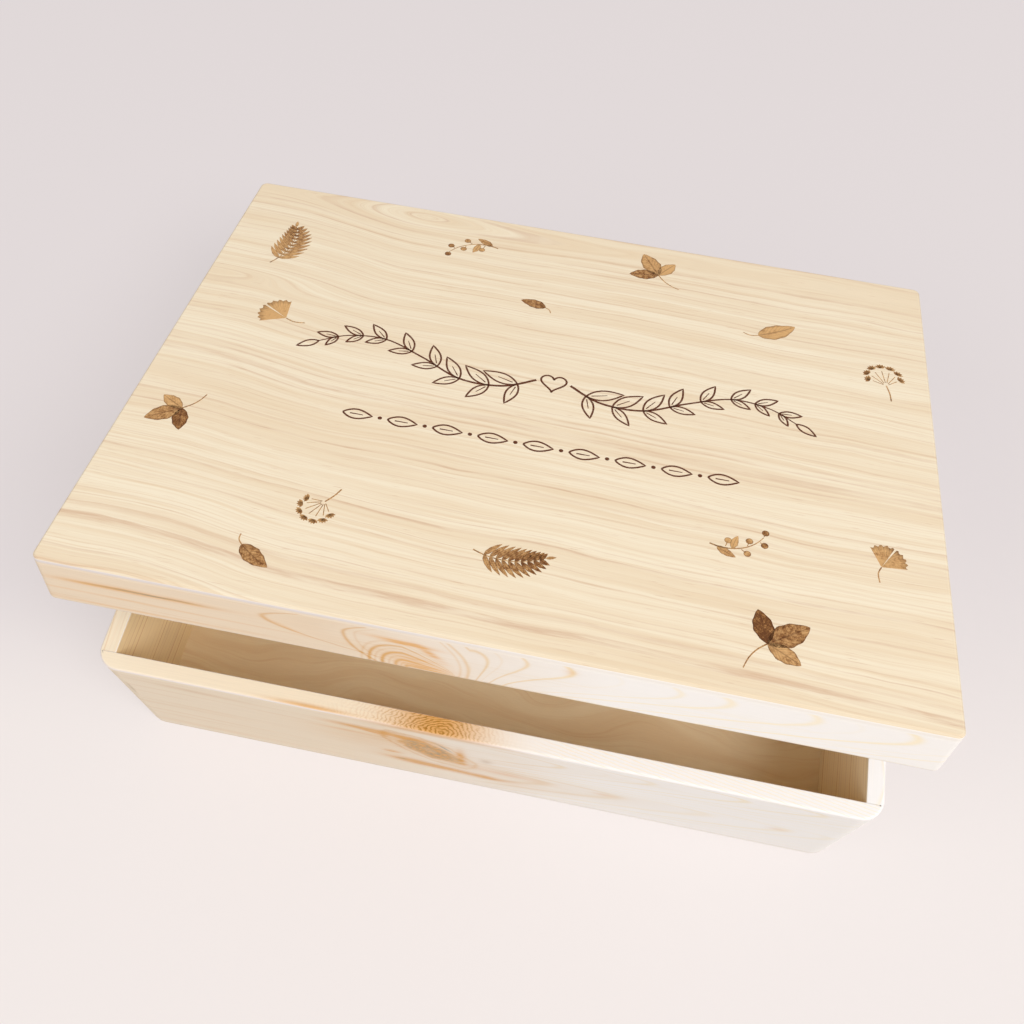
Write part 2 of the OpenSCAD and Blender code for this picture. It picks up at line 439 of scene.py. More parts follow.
def build_pine_figure():
    """Growth rings of a board that was sawn beside the pith, with the grain along X."""
    given, out = start_group(
        "Pine figure",
        ("Place", "Heart X", "Pith Height", "Depth", "Rise", "Ring", "Seed"),
        ("Late",),
    )
    x, y, z = split(given["Place"])
    seed = given["Seed"]
    drift = noise(join(x * 0.010, y * 0.03, z * 0.035 + seed), detail=2.0) - 0.5
    wander = noise(join(x * 0.035, y * 0.14 + 7.0, z * 0.14 + seed), detail=3.0) - 0.5
    along = calc("ABSOLUTE", x - given["Heart X"])
    depth = given["Depth"] + given["Rise"] * (1.0 - calc("EXPONENT", -(along / 90.0)))
    up = z - given["Pith Height"] + drift * 7.0
    back = y - depth + wander * 2.5
    phase = (calc("SQRT", square(up) + square(back)) + wander * 1.4) / given["Ring"]
    ring = calc("FLOOR", phase)
    across = phase - ring
    line = rise(across, 0.66, 0.88) * (1.0 - rise(across, 0.88, 0.96))
    end_group(out, Late=line * (0.2 + 0.8 * dice(ring + seed)))


# Ring lines of the front rail that turn round to the right of the middle, from the left to the
# right: place of the tip along X in mm, half width there, darkness.
RAIL_TIPS = (
    (-9.0, 0.7, 0.35),
    (-5.5, 0.9, 0.6),
    (2.5, 0.83, 0.7),
    (8.5, 0.68, 0.2),
    (19.5, 1.05, 0.75),
    (39.0, 1.5, 0.85),
    (60.0, 1.2, 0.12),
    (85.0, 1.65, 0.45),
    (106.0, 2.25, 0.6),
    (142.0, 2.4, 0.6),
    (160.0, 1.5, 0.1),
    (183.0, 2.55, 0.75),
    (210.0, 1.88, 0.2),
    (234.0, 2.4, 0.5),
)

# Loops left of its middle: size as a share of the outermost, half width, darkness.
RAIL_LOOPS = (
    (1.18, 0.035, 0.25),
    (1.0, 0.045, 0.75),
    (0.86, 0.03, 0.25),
    (0.69, 0.05, 0.85),
    (0.53, 0.03, 0.3),
    (0.37, 0.05, 0.75),
    (0.24, 0.03, 0.35),
    (0.12, 0.05, 0.7),
)


def build_rail_lines():
    """Ring lines of the front rail: nested loops, with tongues to the left and to the right."""
    given, out = start_group("Rail lines", ("Place",), ("Late",))
    x, y, z = split(given["Place"])
    waver = noise(join(x * 0.04, y * 0.1, z * 0.12), detail=3.0) - 0.5
    x = x + (y + FRONT_MM) * 0.4
    z = z + waver * 1.6
    past = at_least(0.0, x + 5.5)
    axis = 117.5 - 15.5 * calc("EXPONENT", -(past / 7.0))
    spread_out = 2.2 + 4.1 * calc("EXPONENT", -(past / 14.0))
    late = lines_at(x + square((z - axis) / spread_out), RAIL_TIPS)
    left = rise(-x, 36.0, 46.0)
    tongue = folded(-x, z - 115.5, 2.1, 1.4)
    late = late + left * lines_at(tongue, ((97.0, 1.7, 0.5), (80.0, 14.0, 0.07)))
    late = late + left * lines_at(
        folded(-x, z - 115.0, 4.9, 2.0), ((61.0, 1.0, 0.6), (56.0, 0.7, 0.2))
    )
    beside = at_least(0.0, -31.0 - x) / 19.0
    toward_heart = at_most(1.0, (-11.0 - x) / 24.0)
    slope = calc("POWER", at_least(0.01, toward_heart), 0.7)
    above = at_least(0.0, z - 96.5) / (slope * 15.5)
    size = calc("POWER", calc("POWER", beside, 3.0) + calc("POWER", above, 3.0), 1 / 3)
    end_group(out, Late=at_most(1.0, late + lines_at(size, RAIL_LOOPS)))


# Tongues on the front of the case, as for the rail: those of the upper half, then of the lower.
UPPER_TIPS = (
    (43.0, 2.8, 0.5),
    (66.0, 2.0, 0.12),
    (89.0, 2.8, 0.4),
    (135.0, 3.0, 0.6),
    (173.0, 3.0, 0.5),
    (219.0, 3.0, 0.35),
    (262.0, 3.0, 0.3),
)
LOWER_TIPS = (
    (36.0, 6.0, 0.4),
    (75.0, 6.0, 0.35),
    (122.0, 6.0, 0.3),
    (165.0, 4.5, 0.35),
    (188.0, 3.5, 0.25),
)

# Rings of the knot: size as a share of the knot's, half width, darkness.
KNOT_RINGS = ((0.4, 0.12, 0.4), (0.7, 0.12, 0.45), (1.0, 0.16, 0.55), (1.5, 0.12, 0.4))


def build_case_lines():
    """Ring lines on the front of the case: tongues to the right, and a slanting knot."""
    given, out = start_group("Case lines", ("Place",), ("Late", "Heart", "Knot"))
    x, y, z = split(given["Place"])
    waver = noise(join(x * 0.04, y * 0.1, z * 0.08), detail=3.0) - 0.5
    x = x + (y + FRONT_MM) * 0.4
    z = z + waver * 3.0
    upper = folded(x, z - x * 0.055 - 79.0, 2.2, 1.4)
    lower = folded(x, z - x * 0.03 - 40.0, 3.2, 1.1)
    past_knot = rise(x, -12.0, 18.0)
    tongues = (lines_at(upper, UPPER_TIPS) + lines_at(lower, LOWER_TIPS)) * past_knot
    heart = 0.34 * (1.0 - rise(lower, 60.0, 140.0)) + 0.2 * (1.0 - rise(upper, 45.0, 130.0))
    beside = x + 26.0
    over = z - 60.0
    along = beside * 0.70 - over * 0.72
    across = beside * 0.72 + over * 0.70
    rough = noise(join(x * 0.09, y * 0.2, z * 0.09), detail=3.0, roughness=0.6) - 0.5
    knot = calc("SQRT", square(along / 20.0) + square(across / 10.0) + square((y + FRONT_MM) / 9.0))
    knot = knot + rough * 0.8
    rings = lines_at(knot, KNOT_RINGS)
    end_group(
        out,
        Late=at_most(1.0, tongues + rings),
        Heart=at_most(0.7, heart) * past_knot,
        Knot=1.0 - rise(knot, 0.55, 1.45),
    )


def build_rim_lines():
    """Ring lines that crowd round the knot on the rim of the front board."""
    given, out = start_group("Rim lines", ("Place",), ("Late", "Resin"))
    x, y = split(given["Place"])[:2]
    waver = noise(join(x * 0.09, y * 0.3, 4.0), detail=4.0, roughness=0.6) - 0.5
    jitter = noise(join(x * 0.28, y * 0.6, 9.0), detail=2.0) - 0.5
    beside = x + 19.0
    squash = 0.44 + 0.25 * rise(beside, -10.0, 10.0)
    ring = calc("SQRT", square(beside) + square((y + FRONT_MM - 1.5) / squash)) / 2.3
    ring = ring + waver * 3.2 + jitter * 1.3
    line = rise(calc("PINGPONG", ring, 0.5) * 2.0, 0.3, 0.95) * (0.8 + jitter * 1.4)
    near = hill(lopsided(x + 22.0, 40.0, 27.0))
    slanted = calc("PINGPONG", (x * 0.17 + y) / 1.7 + waver, 0.5) * 2.0
    far = rise(slanted, 0.6, 1.0) * rise(x, 15.0, 45.0)
    edge = hill((x + 86.0) / 20.0, (y + FRONT_MM - 1.2) / 1.3)
    hot = hill(lopsided(x + 22.0, 24.0, 24.0))
    end_group(
        out,
        Late=line * near + far * 0.9,
        Resin=at_most(1.0, hot * (0.85 + 0.2 * line) + edge * 0.7),
    )


# Streaks on the front: middle along X and Z in mm, half length, half height, rise per mm, share
# of resin and of stain.
RAIL_MARKS = (
    (-157.0, 113.5, 36.0, 1.9, 0.0, 0.4, 0.0),
    (-152.0, 113.4, 27.0, 1.1, 0.0, 1.0, 0.0),
    (-150.0, 113.5, 21.0, 0.6, 0.0, 0.0, 0.95),
    (-165.0, 106.0, 60.0, 0.6, -0.01, 0.35, 0.0),
    (-160.0, 98.6, 50.0, 0.7, 0.0, 0.4, 0.0),
    (-88.0, 110.0, 8.0, 1.2, -0.45, 0.3, 0.0),
    (-34.0, 115.3, 13.0, 1.5, -0.05, 1.0, 0.0),
    (-23.0, 111.0, 6.0, 2.4, -0.7, 0.7, 0.0),
    (-27.0, 100.0, 14.0, 6.5, -0.2, 0.6, 0.0),
    (38.0, 118.0, 3.0, 3.0, 0.0, 0.3, 0.0),
)
CASE_MARKS = (
    (-62.0, 78.5, 17.0, 2.8, -0.03, 1.0, 0.0),
    (-55.0, 74.0, 9.0, 2.0, -0.4, 0.55, 0.0),
    (-36.0, 76.5, 17.0, 4.0, -0.12, 0.8, 0.0),
    (-62.0, 58.0, 30.0, 17.0, 0.0, 0.24, 0.0),
    (-10.0, 45.0, 40.0, 24.0, 0.0, 0.08, 0.0),
    (-27.0, 60.0, 24.0, 15.0, -0.6, 0.45, 0.0),
    (-66.0, 68.0, 22.0, 2.0, 0.0, 0.35, 0.0),
    (-18.0, 71.0, 3.4, 1.4, -1.3, 0.0, 0.95),
    (-9.5, 60.0, 2.6, 13.0, 0.0, 0.75, 0.0),
    (-10.0, 45.0, 6.0, 1.6, 0.1, 0.45, 0.0),
    (-48.0, 42.0, 5.0, 2.2, 0.0, 0.8, 0.0),
    (-38.0, 29.5, 14.0, 4.8, -0.12, 1.0, 0.0),
    (-43.0, 30.0, 2.5, 1.6, 0.0, 0.0, 0.5),
    (-12.0, 26.5, 26.0, 4.2, -0.08, 0.85, 0.0),
    (4.0, 25.0, 6.0, 3.0, 0.0, 0.5, 0.0),
    (4.0, 60.0, 3.0, 4.0, 0.0, 0.2, 0.25),
    (16.0, 41.0, 18.0, 3.5, -0.06, 0.4, 0.0),
    (68.0, 40.0, 6.0, 2.6, 0.0, 0.3, 0.0),
    (161.0, 42.0, 5.0, 2.6, 0.0, 0.25, 0.0),
    (-150.0, 83.0, 28.0, 2.6, -0.05, 0.25, 0.12),
    (-26.0, 93.5, 32.0, 3.0, 0.0, 0.9, 0.1),
    (-188.5, 65.0, 0.9, 8.0, 0.0, 0.2, 0.5),
)


def build_marks(name, marks):
    """Streaks of resin and stain on a front face."""
    given, out = start_group(name, ("Place",), ("Resin", "Stain"))
    x, y, z = split(given["Place"])
    waver = (noise(join(x * 0.03, y * 0.05, z * 0.05), detail=2.0) - 0.5) * 1.6
    grain = rise(noise(join(x * 0.03, y * 0.8, z * 0.8), detail=3.0, roughness=0.65), 0.35, 0.65)
    skin = hill((y + FRONT_MM) / 4.0)
    resin = 0.0
    stain = 0.0
    for mark_x, mark_z, length, height, slope, resin_share, stain_share in marks:
        beside = x - mark_x
        mark = hill(beside / length, (z - mark_z - beside * slope + waver) / height)
        if resin_share:
            resin = resin + mark * resin_share
        if stain_share:
            stain = stain + mark * stain_share
    end_group(
        out,
        Resin=at_most(1.0, resin * (0.65 + 0.75 * grain)) * skin,
        Stain=at_most(1.0, stain * (0.5 + 0.5 * grain)) * skin,
    )


def build_wood_colour():
    """Colours of pine: heartwood to the left, paler to the right partly as sapwood and partly as painted light,
    and painted light in the tones of the case, the rims, the sanded edges and the inside of the box.
    """
    shades = colours()
    given, out = start_group(
        "Wood colour",
        ("Place", "Late", "Fibre", "Sanded", "Warmth"),
        ("Colour", "Roughness", "Height"),
    )
    x, y, z = split(given["Place"])
    patch = noise(join(x * 0.02, y * 0.05, z * 0.05), detail=2.0) - 0.5
    # The share of the right-hand tones: partly sapwood, partly painted light that stands in for the stronger light
    # at the right.
    sap_and_light = rise(x + patch * 50.0, -85.0, 75.0) * (1.0 - given["Warmth"])
    # Below the rim the case takes its own tones: painted light that makes up for the dimmer, cooler light on the
    # case.
    case = 1.0 - rise(z, RIM_Z * PER_MM - 1.0, RIM_Z * PER_MM)
    heart = mix(case, shades.heart_pale, shades.heart_case_and_light)
    sapwood = mix(case, shades.sap_and_light_rail, shades.sap_and_light_case)
    pale = mix(sap_and_light, heart, sapwood)
    # Inside the box the wood turns lighter and more orange, with orange ring lines: painted light that stands in
    # for the light and warm bounce there.
    inside_x = 1.0 - rise(calc("ABSOLUTE", x), INNER_X * PER_MM, INNER_X * PER_MM + 0.4)
    inside_y = 1.0 - rise(calc("ABSOLUTE", y), INNER_Y * PER_MM, INNER_Y * PER_MM + 0.4)
    inside = inside_x * inside_y
    dark = mix(sap_and_light * (1.0 - inside), shades.heart_dark, shades.sap_and_light_late)
    wood = mix(given["Late"], pale, dark)
    # Faces that point up take the rim tones, with weaker ring lines; the tones are painted light that sets how
    # bright the upper faces look.
    rim = rise(facing_up(out.id_data), 0.6, 0.95)
    rim_tone_and_light = mix(sap_and_light, shades.rim_heart_and_light, shades.rim_sap_and_light)
    wood = mix(rim * (0.85 - 0.7 * given["Late"]), wood, rim_tone_and_light)
    # Painted light: the lighter, more orange inside tone.
    wood = mix(inside * (0.8 - 0.8 * given["Late"]), wood, shades.inside)
    wood = shaded(wood, 1.0 + (given["Fibre"] - 0.5) * (0.24 - 0.15 * sap_and_light))
    # Sanded edges take the sanded tone, partly paler wood and partly painted reflection; below zero, the inner top
    # edges take a painted highlight in the right-hand rim tone.
    sanded_and_sheen_tone = mix(sap_and_light, shades.sanded, shades.sanded_sap_and_sheen)
    sanded_and_sheen = given["Sanded"]
    wood = mix(at_least(0.0, sanded_and_sheen) * 0.8, wood, sanded_and_sheen_tone)
    wood = mix(at_least(0.0, -sanded_and_sheen) * 0.8, wood, shades.rim_sap_and_light)
    end_group(
        out,
        Colour=wood,
        Roughness=0.5 + 0.2 * given["Fibre"] + 0.08 * given["Late"],
        Height=given["Fibre"] * 0.7 + given["Late"] * 0.3,
    )


def build_ply_edge():
    """Three plies seen at the edge of a panel, between the heights Bottom and Top in mm."""
    shades = colours()
    given, out = start_group("Ply edge", ("Place", "Bottom", "Top"), ("Colour", "Height"))
    x, y, z = split(given["Place"])
    level = (z - given["Bottom"]) / (given["Top"] - given["Bottom"])
    waver = (noise(join(x * 0.05, y * 0.05, z * 0.1), detail=2.0) - 0.5) * 0.06
    core = rise(level + waver, 0.31, 0.36) * (1.0 - rise(level + waver, 0.64, 0.69))
    glue = hill((level + waver - 0.33) / 0.025) + hill((level + waver - 0.67) / 0.025)
    pores = noise(join(x * 2.2, y * 2.2, z * 4.0), detail=2.0)
    long_grain = noise(join(x * 0.05, y * 0.05, z * 9.0), detail=3.0)
    colour = mix(core, shades.ply_edge, shades.ply_end)
    colour = shaded(colour, 1.0 + (pores - 0.5) * 0.16 * core + (long_grain - 0.5) * 0.14)
    colour = mix(glue * 0.35, colour, shades.heart_dark)
    end_group(out, Colour=colour, Height=long_grain + pores * core)


def build_ply_face():
    """The broad wavy figure of rotary-cut veneer, with short pores along X."""
    shades = colours()
    given, out = start_group("Ply face", ("Place", "Seed"), ("Colour", "Pore"))
    x, y = split(given["Place"])[:2]
    seed = given["Seed"]
    flow = y + (noise(join(x * 0.008, y * 0.02, seed), detail=2.0) - 0.5) * 60.0
    swirl = noise(join(x * 0.006, flow * 0.09, seed + 2.0), detail=3.0, roughness=0.6)
    vein = noise(join(x * 0.012, flow * 0.5, seed + 5.0), detail=3.0, roughness=0.65)
    pore = noise(join(x * 0.12, y * 2.4, 4.0), detail=2.0)
    dark = rise(swirl, 0.4, 0.65) * 0.22 + rise(vein, 0.5, 0.75) * 0.18
    face = mix(dark, shades.ply_face, shades.heart_dark)
    end_group(out, Colour=shaded(face, 0.95 + pore * 0.1), Pore=pore)


def build_printed_grain():
    """The pale straight grain of the lid's face: thin broken lines that flow round an oval."""
    shades = colours()
    given, out = start_group("Printed grain", ("Place",), ("Colour", "Height"))
    x, y = split(given["Place"])[:2]
    sway = noise(join(x * 0.006, y * 0.012, 3.0), detail=2.0) - 0.5
    ripple = noise(join(x * 0.02, y * 0.05, 8.0), detail=2.0) - 0.5
    level = y + x * 0.03 + sway * 14.0 + ripple * 3.0
    beside = 12.0 * (1.0 - calc("EXPONENT", -(calc("ABSOLUTE", x + 95.0) / 45.0)))
    oval = calc("SQRT", square(beside) + square(level - 139.0))
    tongue = hill((x + 192.0) / 45.0, (y - 62.0) / 7.5) * 13.0
    flow = oval + tongue + 8.0 * rise(-x, 90.0, 170.0)
    band = noise(join(x * 0.003, flow * 0.10, 1.0), detail=3.0, roughness=0.6)
    middle = noise(join(x * 0.006, flow * 0.32, 33.0), detail=2.0)
    fine = noise(join(x * 0.010, flow * 0.9, 5.0), detail=3.0, roughness=0.65)
    hair = noise(join(x * 0.05, flow * 3.2, 15.0), detail=2.0)
    uneven = noise(join(flow * 0.11, 0.0, 2.0), detail=2.0)
    ring = flow / 6.2 + uneven * 3.0
    nearest = calc("ROUND", ring)
    line = hill((ring - nearest) / (0.05 + 0.09 * dice(nearest + 9.0)))
    broken = rise(noise(join(x * 0.02, flow * 0.3, 12.0), detail=3.0, roughness=0.6), 0.38, 0.62)
    pores = noise(join(x * 0.12, flow * 1.4, 17.0), detail=2.0)
    lines = line * (0.15 + 0.85 * dice(nearest + 4.0)) * (0.25 + 0.75 * broken) * (0.5 + pores)
    patch = rise(noise(join(x * 0.016, y * 0.035, 12.0), detail=2.0), 0.38, 0.62)
    dash = rise(noise(join(x * 0.08, y * 1.9, 21.0), detail=1.0), 0.66, 0.8)
    wood = mix(rise(band, 0.36, 0.66) * 0.6, shades.top_pale, shades.top_dark)
    wood = mix(rise(middle, 0.5, 0.68) * 0.6, wood, shades.top_dark)
    wood = mix(rise(fine, 0.45, 0.68) * 0.6, wood, shades.top_dark)
    wood = mix(rise(fine, 0.6, 0.8) * 0.45, wood, shades.top_streak)
    wood = mix(at_most(0.8, lines * 0.8), wood, shades.top_streak)
    wood = mix(dash * (0.35 + 0.4 * patch), wood, shades.top_streak)
    wood = shaded(wood, 0.96 + hair * 0.08)
    end_group(out, Colour=wood, Height=fine * 0.6 + hair * 0.4)


def build_smudges():
    """Faint marks of handling on metal."""
    given, out = start_group("Smudges", ("Place",), ("Mark", "Brush"))
    x, y, z = split(given["Place"])
    mark = rise(noise(given["Place"], detail=3.0, roughness=0.6), 0.4, 0.7)
    brush = noise(join(x * 0.6, y * 12.0, z * 12.0), detail=2.0)
    end_group(out, Mark=mark, Brush=brush)


# ------------------------------------------------------------------ materials


def read_attribute(tree, name, output="Fac"):
    """The value that the mesh carries under a name at each of its points."""
    node = add_node(tree, "ShaderNodeAttribute", attribute_name=name)
    return Field(tree, node.outputs[output])


def make_front_pine(name, seed, lines, marks, has_rim):
    """A board of the front: rail and case were sawn from one piece, with a knot below the rim."""
    shades = colours()
    material, tree, shader, place = start_material(name)
    grain = use_group(tree, "Fibre", Place=place, Seed=seed)
    figure = use_group(tree, lines, Place=place)
    streaks = use_group(tree, marks, Place=place)
    late = at_most(1.0, figure["Late"] + grain["Streak"] * 0.16)
    resin = streaks["Resin"] * (0.75 + 0.25 * figure["Late"])
    stain = streaks["Stain"]
    warmth = 0.0
    burnt = None
    if has_rim:
        rim = rise(facing_up(tree), 0.6, 0.95)
        rings = use_group(tree, "Rim lines", Place=place)
        knot = figure["Knot"]
        late = late + (rings["Late"] - late) * rim
        resin = calc("MAXIMUM", resin, knot * (0.68 + 0.32 * figure["Late"]))
        resin = resin + (rings["Resin"] - resin) * rim
        mottle = noise(scaled(place, (0.25, 0.5, 0.7)), detail=3.0, roughness=0.7)
        core = rise(knot, 0.3, 0.85)
        stain = calc("MAXIMUM", stain, core * rise(mottle, 0.42, 0.6) * 0.6) * (1.0 - rim)
        warmth = figure["Heart"] * (1.0 - rim) + rings["Resin"] * rim + knot * 0.5
        warmth = at_most(0.9, warmth)
        burnt = (0.1 + 0.45 * rings["Late"]) * rings["Resin"] * rim
    # The sanded tone, partly painted reflection, and the painted highlight of the inner top edges.
    sanded = read_attribute(tree, "sanded")
    wood = use_group(
        tree,
        "Wood colour",
        Place=place,
        Late=late,
        Fibre=grain["Fibre"],
        Sanded=sanded,
        Warmth=warmth,
    )
    colour = mix(resin, wood["Colour"], shades.resin)
    colour = mix(stain, colour, shades.stain)
    if burnt:
        colour = shaded(colour, 1.0 - burnt)
    finish_surface(
        tree, shader, colour, wood["Roughness"], wood["Height"], specular=WOOD_SPECULAR
    )
    return material


def make_pine(name, turned, heart_x, height, depth, rise_to_side, seed):
    """A plainer pine board; a turned one has its grain along Y."""
    material, tree, shader, place = start_material(name)
    x, y, z = split(place)
    if turned:
        outer = HALF_W * PER_MM - calc("ABSOLUTE", x)
        grain_place = join(y + x * 0.35, outer, z)
    else:
        outer = FRONT_MM - calc("ABSOLUTE", y)
        grain_place = join(x, outer, z)
    grain = use_group(tree, "Fibre", Place=grain_place, Seed=seed)
    figure = use_group(
        tree,
        "Pine figure",
        Place=grain_place,
        Heart_X=heart_x,
        Pith_Height=height,
        Depth=depth,
        Rise=rise_to_side,
        Ring=4.2,
        Seed=seed,
    )
    # The sanded tone, partly painted reflection, and the painted highlight of the inner top edges.
    sanded = read_attribute(tree, "sanded")
    wood = use_group(
        tree,
        "Wood colour",
        Place=place,
        Late=at_most(1.0, figure["Late"] + grain["Streak"] * 0.25),
        Fibre=grain["Fibre"],
        Sanded=sanded,
    )
    finish_surface(
        tree, shader, wood["Colour"], wood["Roughness"], wood["Height"], specular=WOOD_SPECULAR
    )
    return material


def make_plywood():
    """The bottom panel: rotary-cut faces and three plies at the edge."""
    shades = colours()
    material, tree, shader, place = start_material("Plywood")
    x = split(place)[0]
    up = facing_up(tree)
    face = use_group(tree, "Ply face", Place=place, Seed=0.0)
    # Paler to the right at the edge, partly sapwood and partly painted light, as on the boards.
    sap_and_light = rise(x, -85.0, 75.0)
    edge = use_group(
        tree, "Ply edge", Place=place, Bottom=CASE_LOW.z * PER_MM, Top=CASE_HIGH.z * PER_MM
    )
    flat = rise(calc("ABSOLUTE", up), 0.6, 0.8)
    rim = mix(0.85 * sap_and_light, edge["Colour"], shades.sap_and_light_rail)
    pore = face["Pore"]
    colour = mix(flat, rim, face["Colour"])
    finish_surface(tree, shader, colour, 0.58 + 0.15 * pore, pore, specular=WOOD_SPECULAR)
    return material


def make_printed_top():
    """The lid's top panel: printed grain above, plain plywood below and pale plies at the edge, under the sanded
    tone that is partly painted reflection, with painted shade where the top turns down.
    """
    shades = colours()
    material, tree, shader, place = start_material("Printed top")
    x, z = split(place)[::2]
    up = facing_up(tree)
    grain = use_group(tree, "Printed grain", Place=place)
    edge = use_group(
        tree, "Ply edge", Place=place, Bottom=TOP_LOW.z * PER_MM, Top=TOP_HIGH.z * PER_MM
    )
    # Paler to the right, partly sapwood and partly painted light, as on the boards; the edge band takes the sanded
    # tone, partly painted reflection, turning to the rail's tone at its foot.
    sap_and_light = rise(x, -90.0, 70.0)
    edge_tone_and_sheen = mix(sap_and_light, shades.sanded, shades.sap_and_light_rail)
    rail_tone = mix(sap_and_light, shades.heart_pale, shades.sap_and_light_rail)
    foot = TOP_LOW.z * PER_MM
    edge_tone_and_sheen = mix(rise(z, foot + 1.0, foot + 1.8), rail_tone, edge_tone_and_sheen)
    rim = mix(0.82, edge["Colour"], edge_tone_and_sheen)
    under = use_group(tree, "Ply face", Place=place, Seed=11.0)
    colour = mix(rise(up, 0.3, 0.5), rim, grain["Colour"])
    # Painted shade where the face turns down into the edge, to tone down the light on the rounding.
    turn = rise(up, 0.3, 0.5) * (1.0 - rise(up, 0.9, 0.99))
    colour = shaded(colour, 1.0 - 0.14 * turn)
    colour = mix(rise(-up, 0.6, 0.8), colour, under["Colour"])
    height = grain["Height"]
    finish_surface(
        tree, shader, colour, 0.46 + 0.12 * height, height, relief=0.04 * MM, specular=WOOD_SPECULAR
    )
    return material


def make_line_ink():
    """Dark brown ink of the ornament, a little uneven where it has sunk into the wood."""
    shades = colours()
    material, tree, shader, place = start_material("Line ink")
    x, y = split(place)[:2]
    grain = use_group(tree, "Printed grain", Place=place)
    sunk = rise(noise(join(x * 0.4, y * 2.6, 0.0), detail=2.0), 0.5, 0.75)
    colour = mix(sunk * 0.22, shades.line_ink, grain["Colour"])
    finish_surface(tree, shader, colour, 0.5 + 0.1 * sunk, specular=INK_SPECULAR)
    return material


def make_leaf_ink():
    """Browns of the pressed leaves: pale between the veins, darker along edge, rib and blotches."""
    shades = colours()
    material, tree, shader, place = start_material("Leaf ink")
    x, y = split(place)[:2]
    along, across, depth = split(read_attribute(tree, "leaf_place", "Vector"))
    side = calc("ABSOLUTE", across)
    grain = use_group(tree, "Printed grain", Place=place)
    blotch = noise(join(x * 0.45, y * 0.45, depth * 9.0), detail=4.0, roughness=0.7)
    speckle = noise(join(x * 2.2, y * 2.2, depth), detail=3.0, roughness=0.7)
    vein_phase = (along - side * 0.32) * 8.0
    vein = hill((vein_phase - calc("ROUND", vein_phase)) / 0.13) * rise(side, 0.04, 0.2)
    rib = hill(side / 0.09)
    edge = rise(side, 0.72, 0.98)
    base = 1.0 - rise(along, 0.0, 0.4)
    shade = rise(blotch * 0.7 + depth * 0.6, 0.45, 0.95)
    body = mix(shade, shades.leaf_light, shades.leaf_brown)
    colour = mix(0.35 * (1.0 - depth), body, mix(1.0, body, grain["Colour"], "MULTIPLY"))
    darkness = rib * 0.5 + vein * (0.12 + 0.3 * depth) + edge * 0.45 + base * 0.4 * depth
    mottle = rise(speckle * 0.5 + blotch * 0.5 + depth * 0.25, 0.6, 0.78)
    darkness = darkness + mottle * (0.2 + 0.65 * depth)
    colour = mix(at_most(0.92, darkness), colour, shades.leaf_dark)
    finish_surface(tree, shader, colour, 0.52 + 0.1 * speckle, specular=INK_SPECULAR)
    return material


def make_beech():
    """Dowel rods, with the grain along Y."""
    shades = colours()
    material, tree, shader, place = start_material("Beech")
    x, y, z = split(place)
    grain = noise(join(x * 3.0, y * 0.2, z * 3.0), detail=3.0)
    fleck = rise(noise(join(x * 6.0, y * 0.9, z * 6.0), detail=1.0), 0.6, 0.7)
    colour = shaded(mix(fleck * 0.4, shades.beech, shades.resin), 0.9 + grain * 0.2)
    finish_surface(tree, shader, colour, 0.55 + 0.1 * grain, grain)
    return material


def make_metal(name, colour, roughness):
    """Plated or drawn metal with faint brushing along X and marks of handling."""
    material, tree, shader, place = start_material(name)
    wear = use_group(tree, "Smudges", Place=place)
    surface = mix(wear["Mark"] * 0.18, colour, [channel * 0.72 for channel in colour])
    finish_surface(
        tree,
        shader,
        surface,
        roughness + 0.12 * wear["Mark"] + 0.08 * wear["Brush"],
        wear["Brush"],
        0.01 * MM,
    )
    shader.inputs["Metallic"].default_value = 1.0
    return material


# ------------------------------------------------------------------ meshes

ROUND_STEPS = 6
LONG_STEPS = 24
# Share of the sanded tone, partly painted reflection, across a sanded edge.
SANDED_AND_SHEEN_SHARES = (0.0, 0.9, 1.0, 0.7, 0.25, 0.0, 0.0)  # from the face up to the top of an edge


def add_object(name, data):
    """Puts an object with the given data in the scene."""
    made = bpy.data.objects.new(name, data)
    bpy.context.scene.collection.objects.link(made)
    return made


def add_mesh_object(name, bm):
    """Puts a bmesh in the scene as an object, and frees it."""
    mesh = bpy.data.meshes.new(name)
    bm.to_mesh(mesh)
    bm.free()
    return add_object(name, mesh)


def make_piece(name, bm, material, body, stands_for=(), lid=False):
    """Turns a bmesh into a piece that rides on a body, swung open if it belongs to the lid."""
    bmesh.ops.recalc_face_normals(bm, faces=bm.faces)
    piece = add_mesh_object(name, bm)
    piece.data.materials.append(material)
    if lid:
        piece.matrix_world = LID_SWING
    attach(piece, body)
    if stands_for:
        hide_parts(*stands_for)
    return piece


def smooth_shade(piece, angle=math.radians(40)):
    """Smooths the faces but keeps edges sharper than the angle, with flat faces left flat."""
    mesh = piece.data
    mesh.shade_smooth()
    mesh.set_sharp_from_angle(angle=angle)
    weighted = piece.modifiers.new("Flat faces", "WEIGHTED_NORMAL")
    weighted.keep_sharp = True


def arc(centre, radius, start, end, steps=ROUND_STEPS):
    """Points on an arc, with angles in radians from +X."""
    angles = [start + (end - start) * i / steps for i in range(steps + 1)]
    return [(centre[0] + radius * math.cos(a), centre[1] + radius * math.sin(a)) for a in angles]


def spread(first, last, steps):
    """Evenly spaced points between two points, without the two."""
    return [
        tuple(a + (b - a) * i / steps for a, b in zip(first, last)) for i in range(1, steps)
    ]


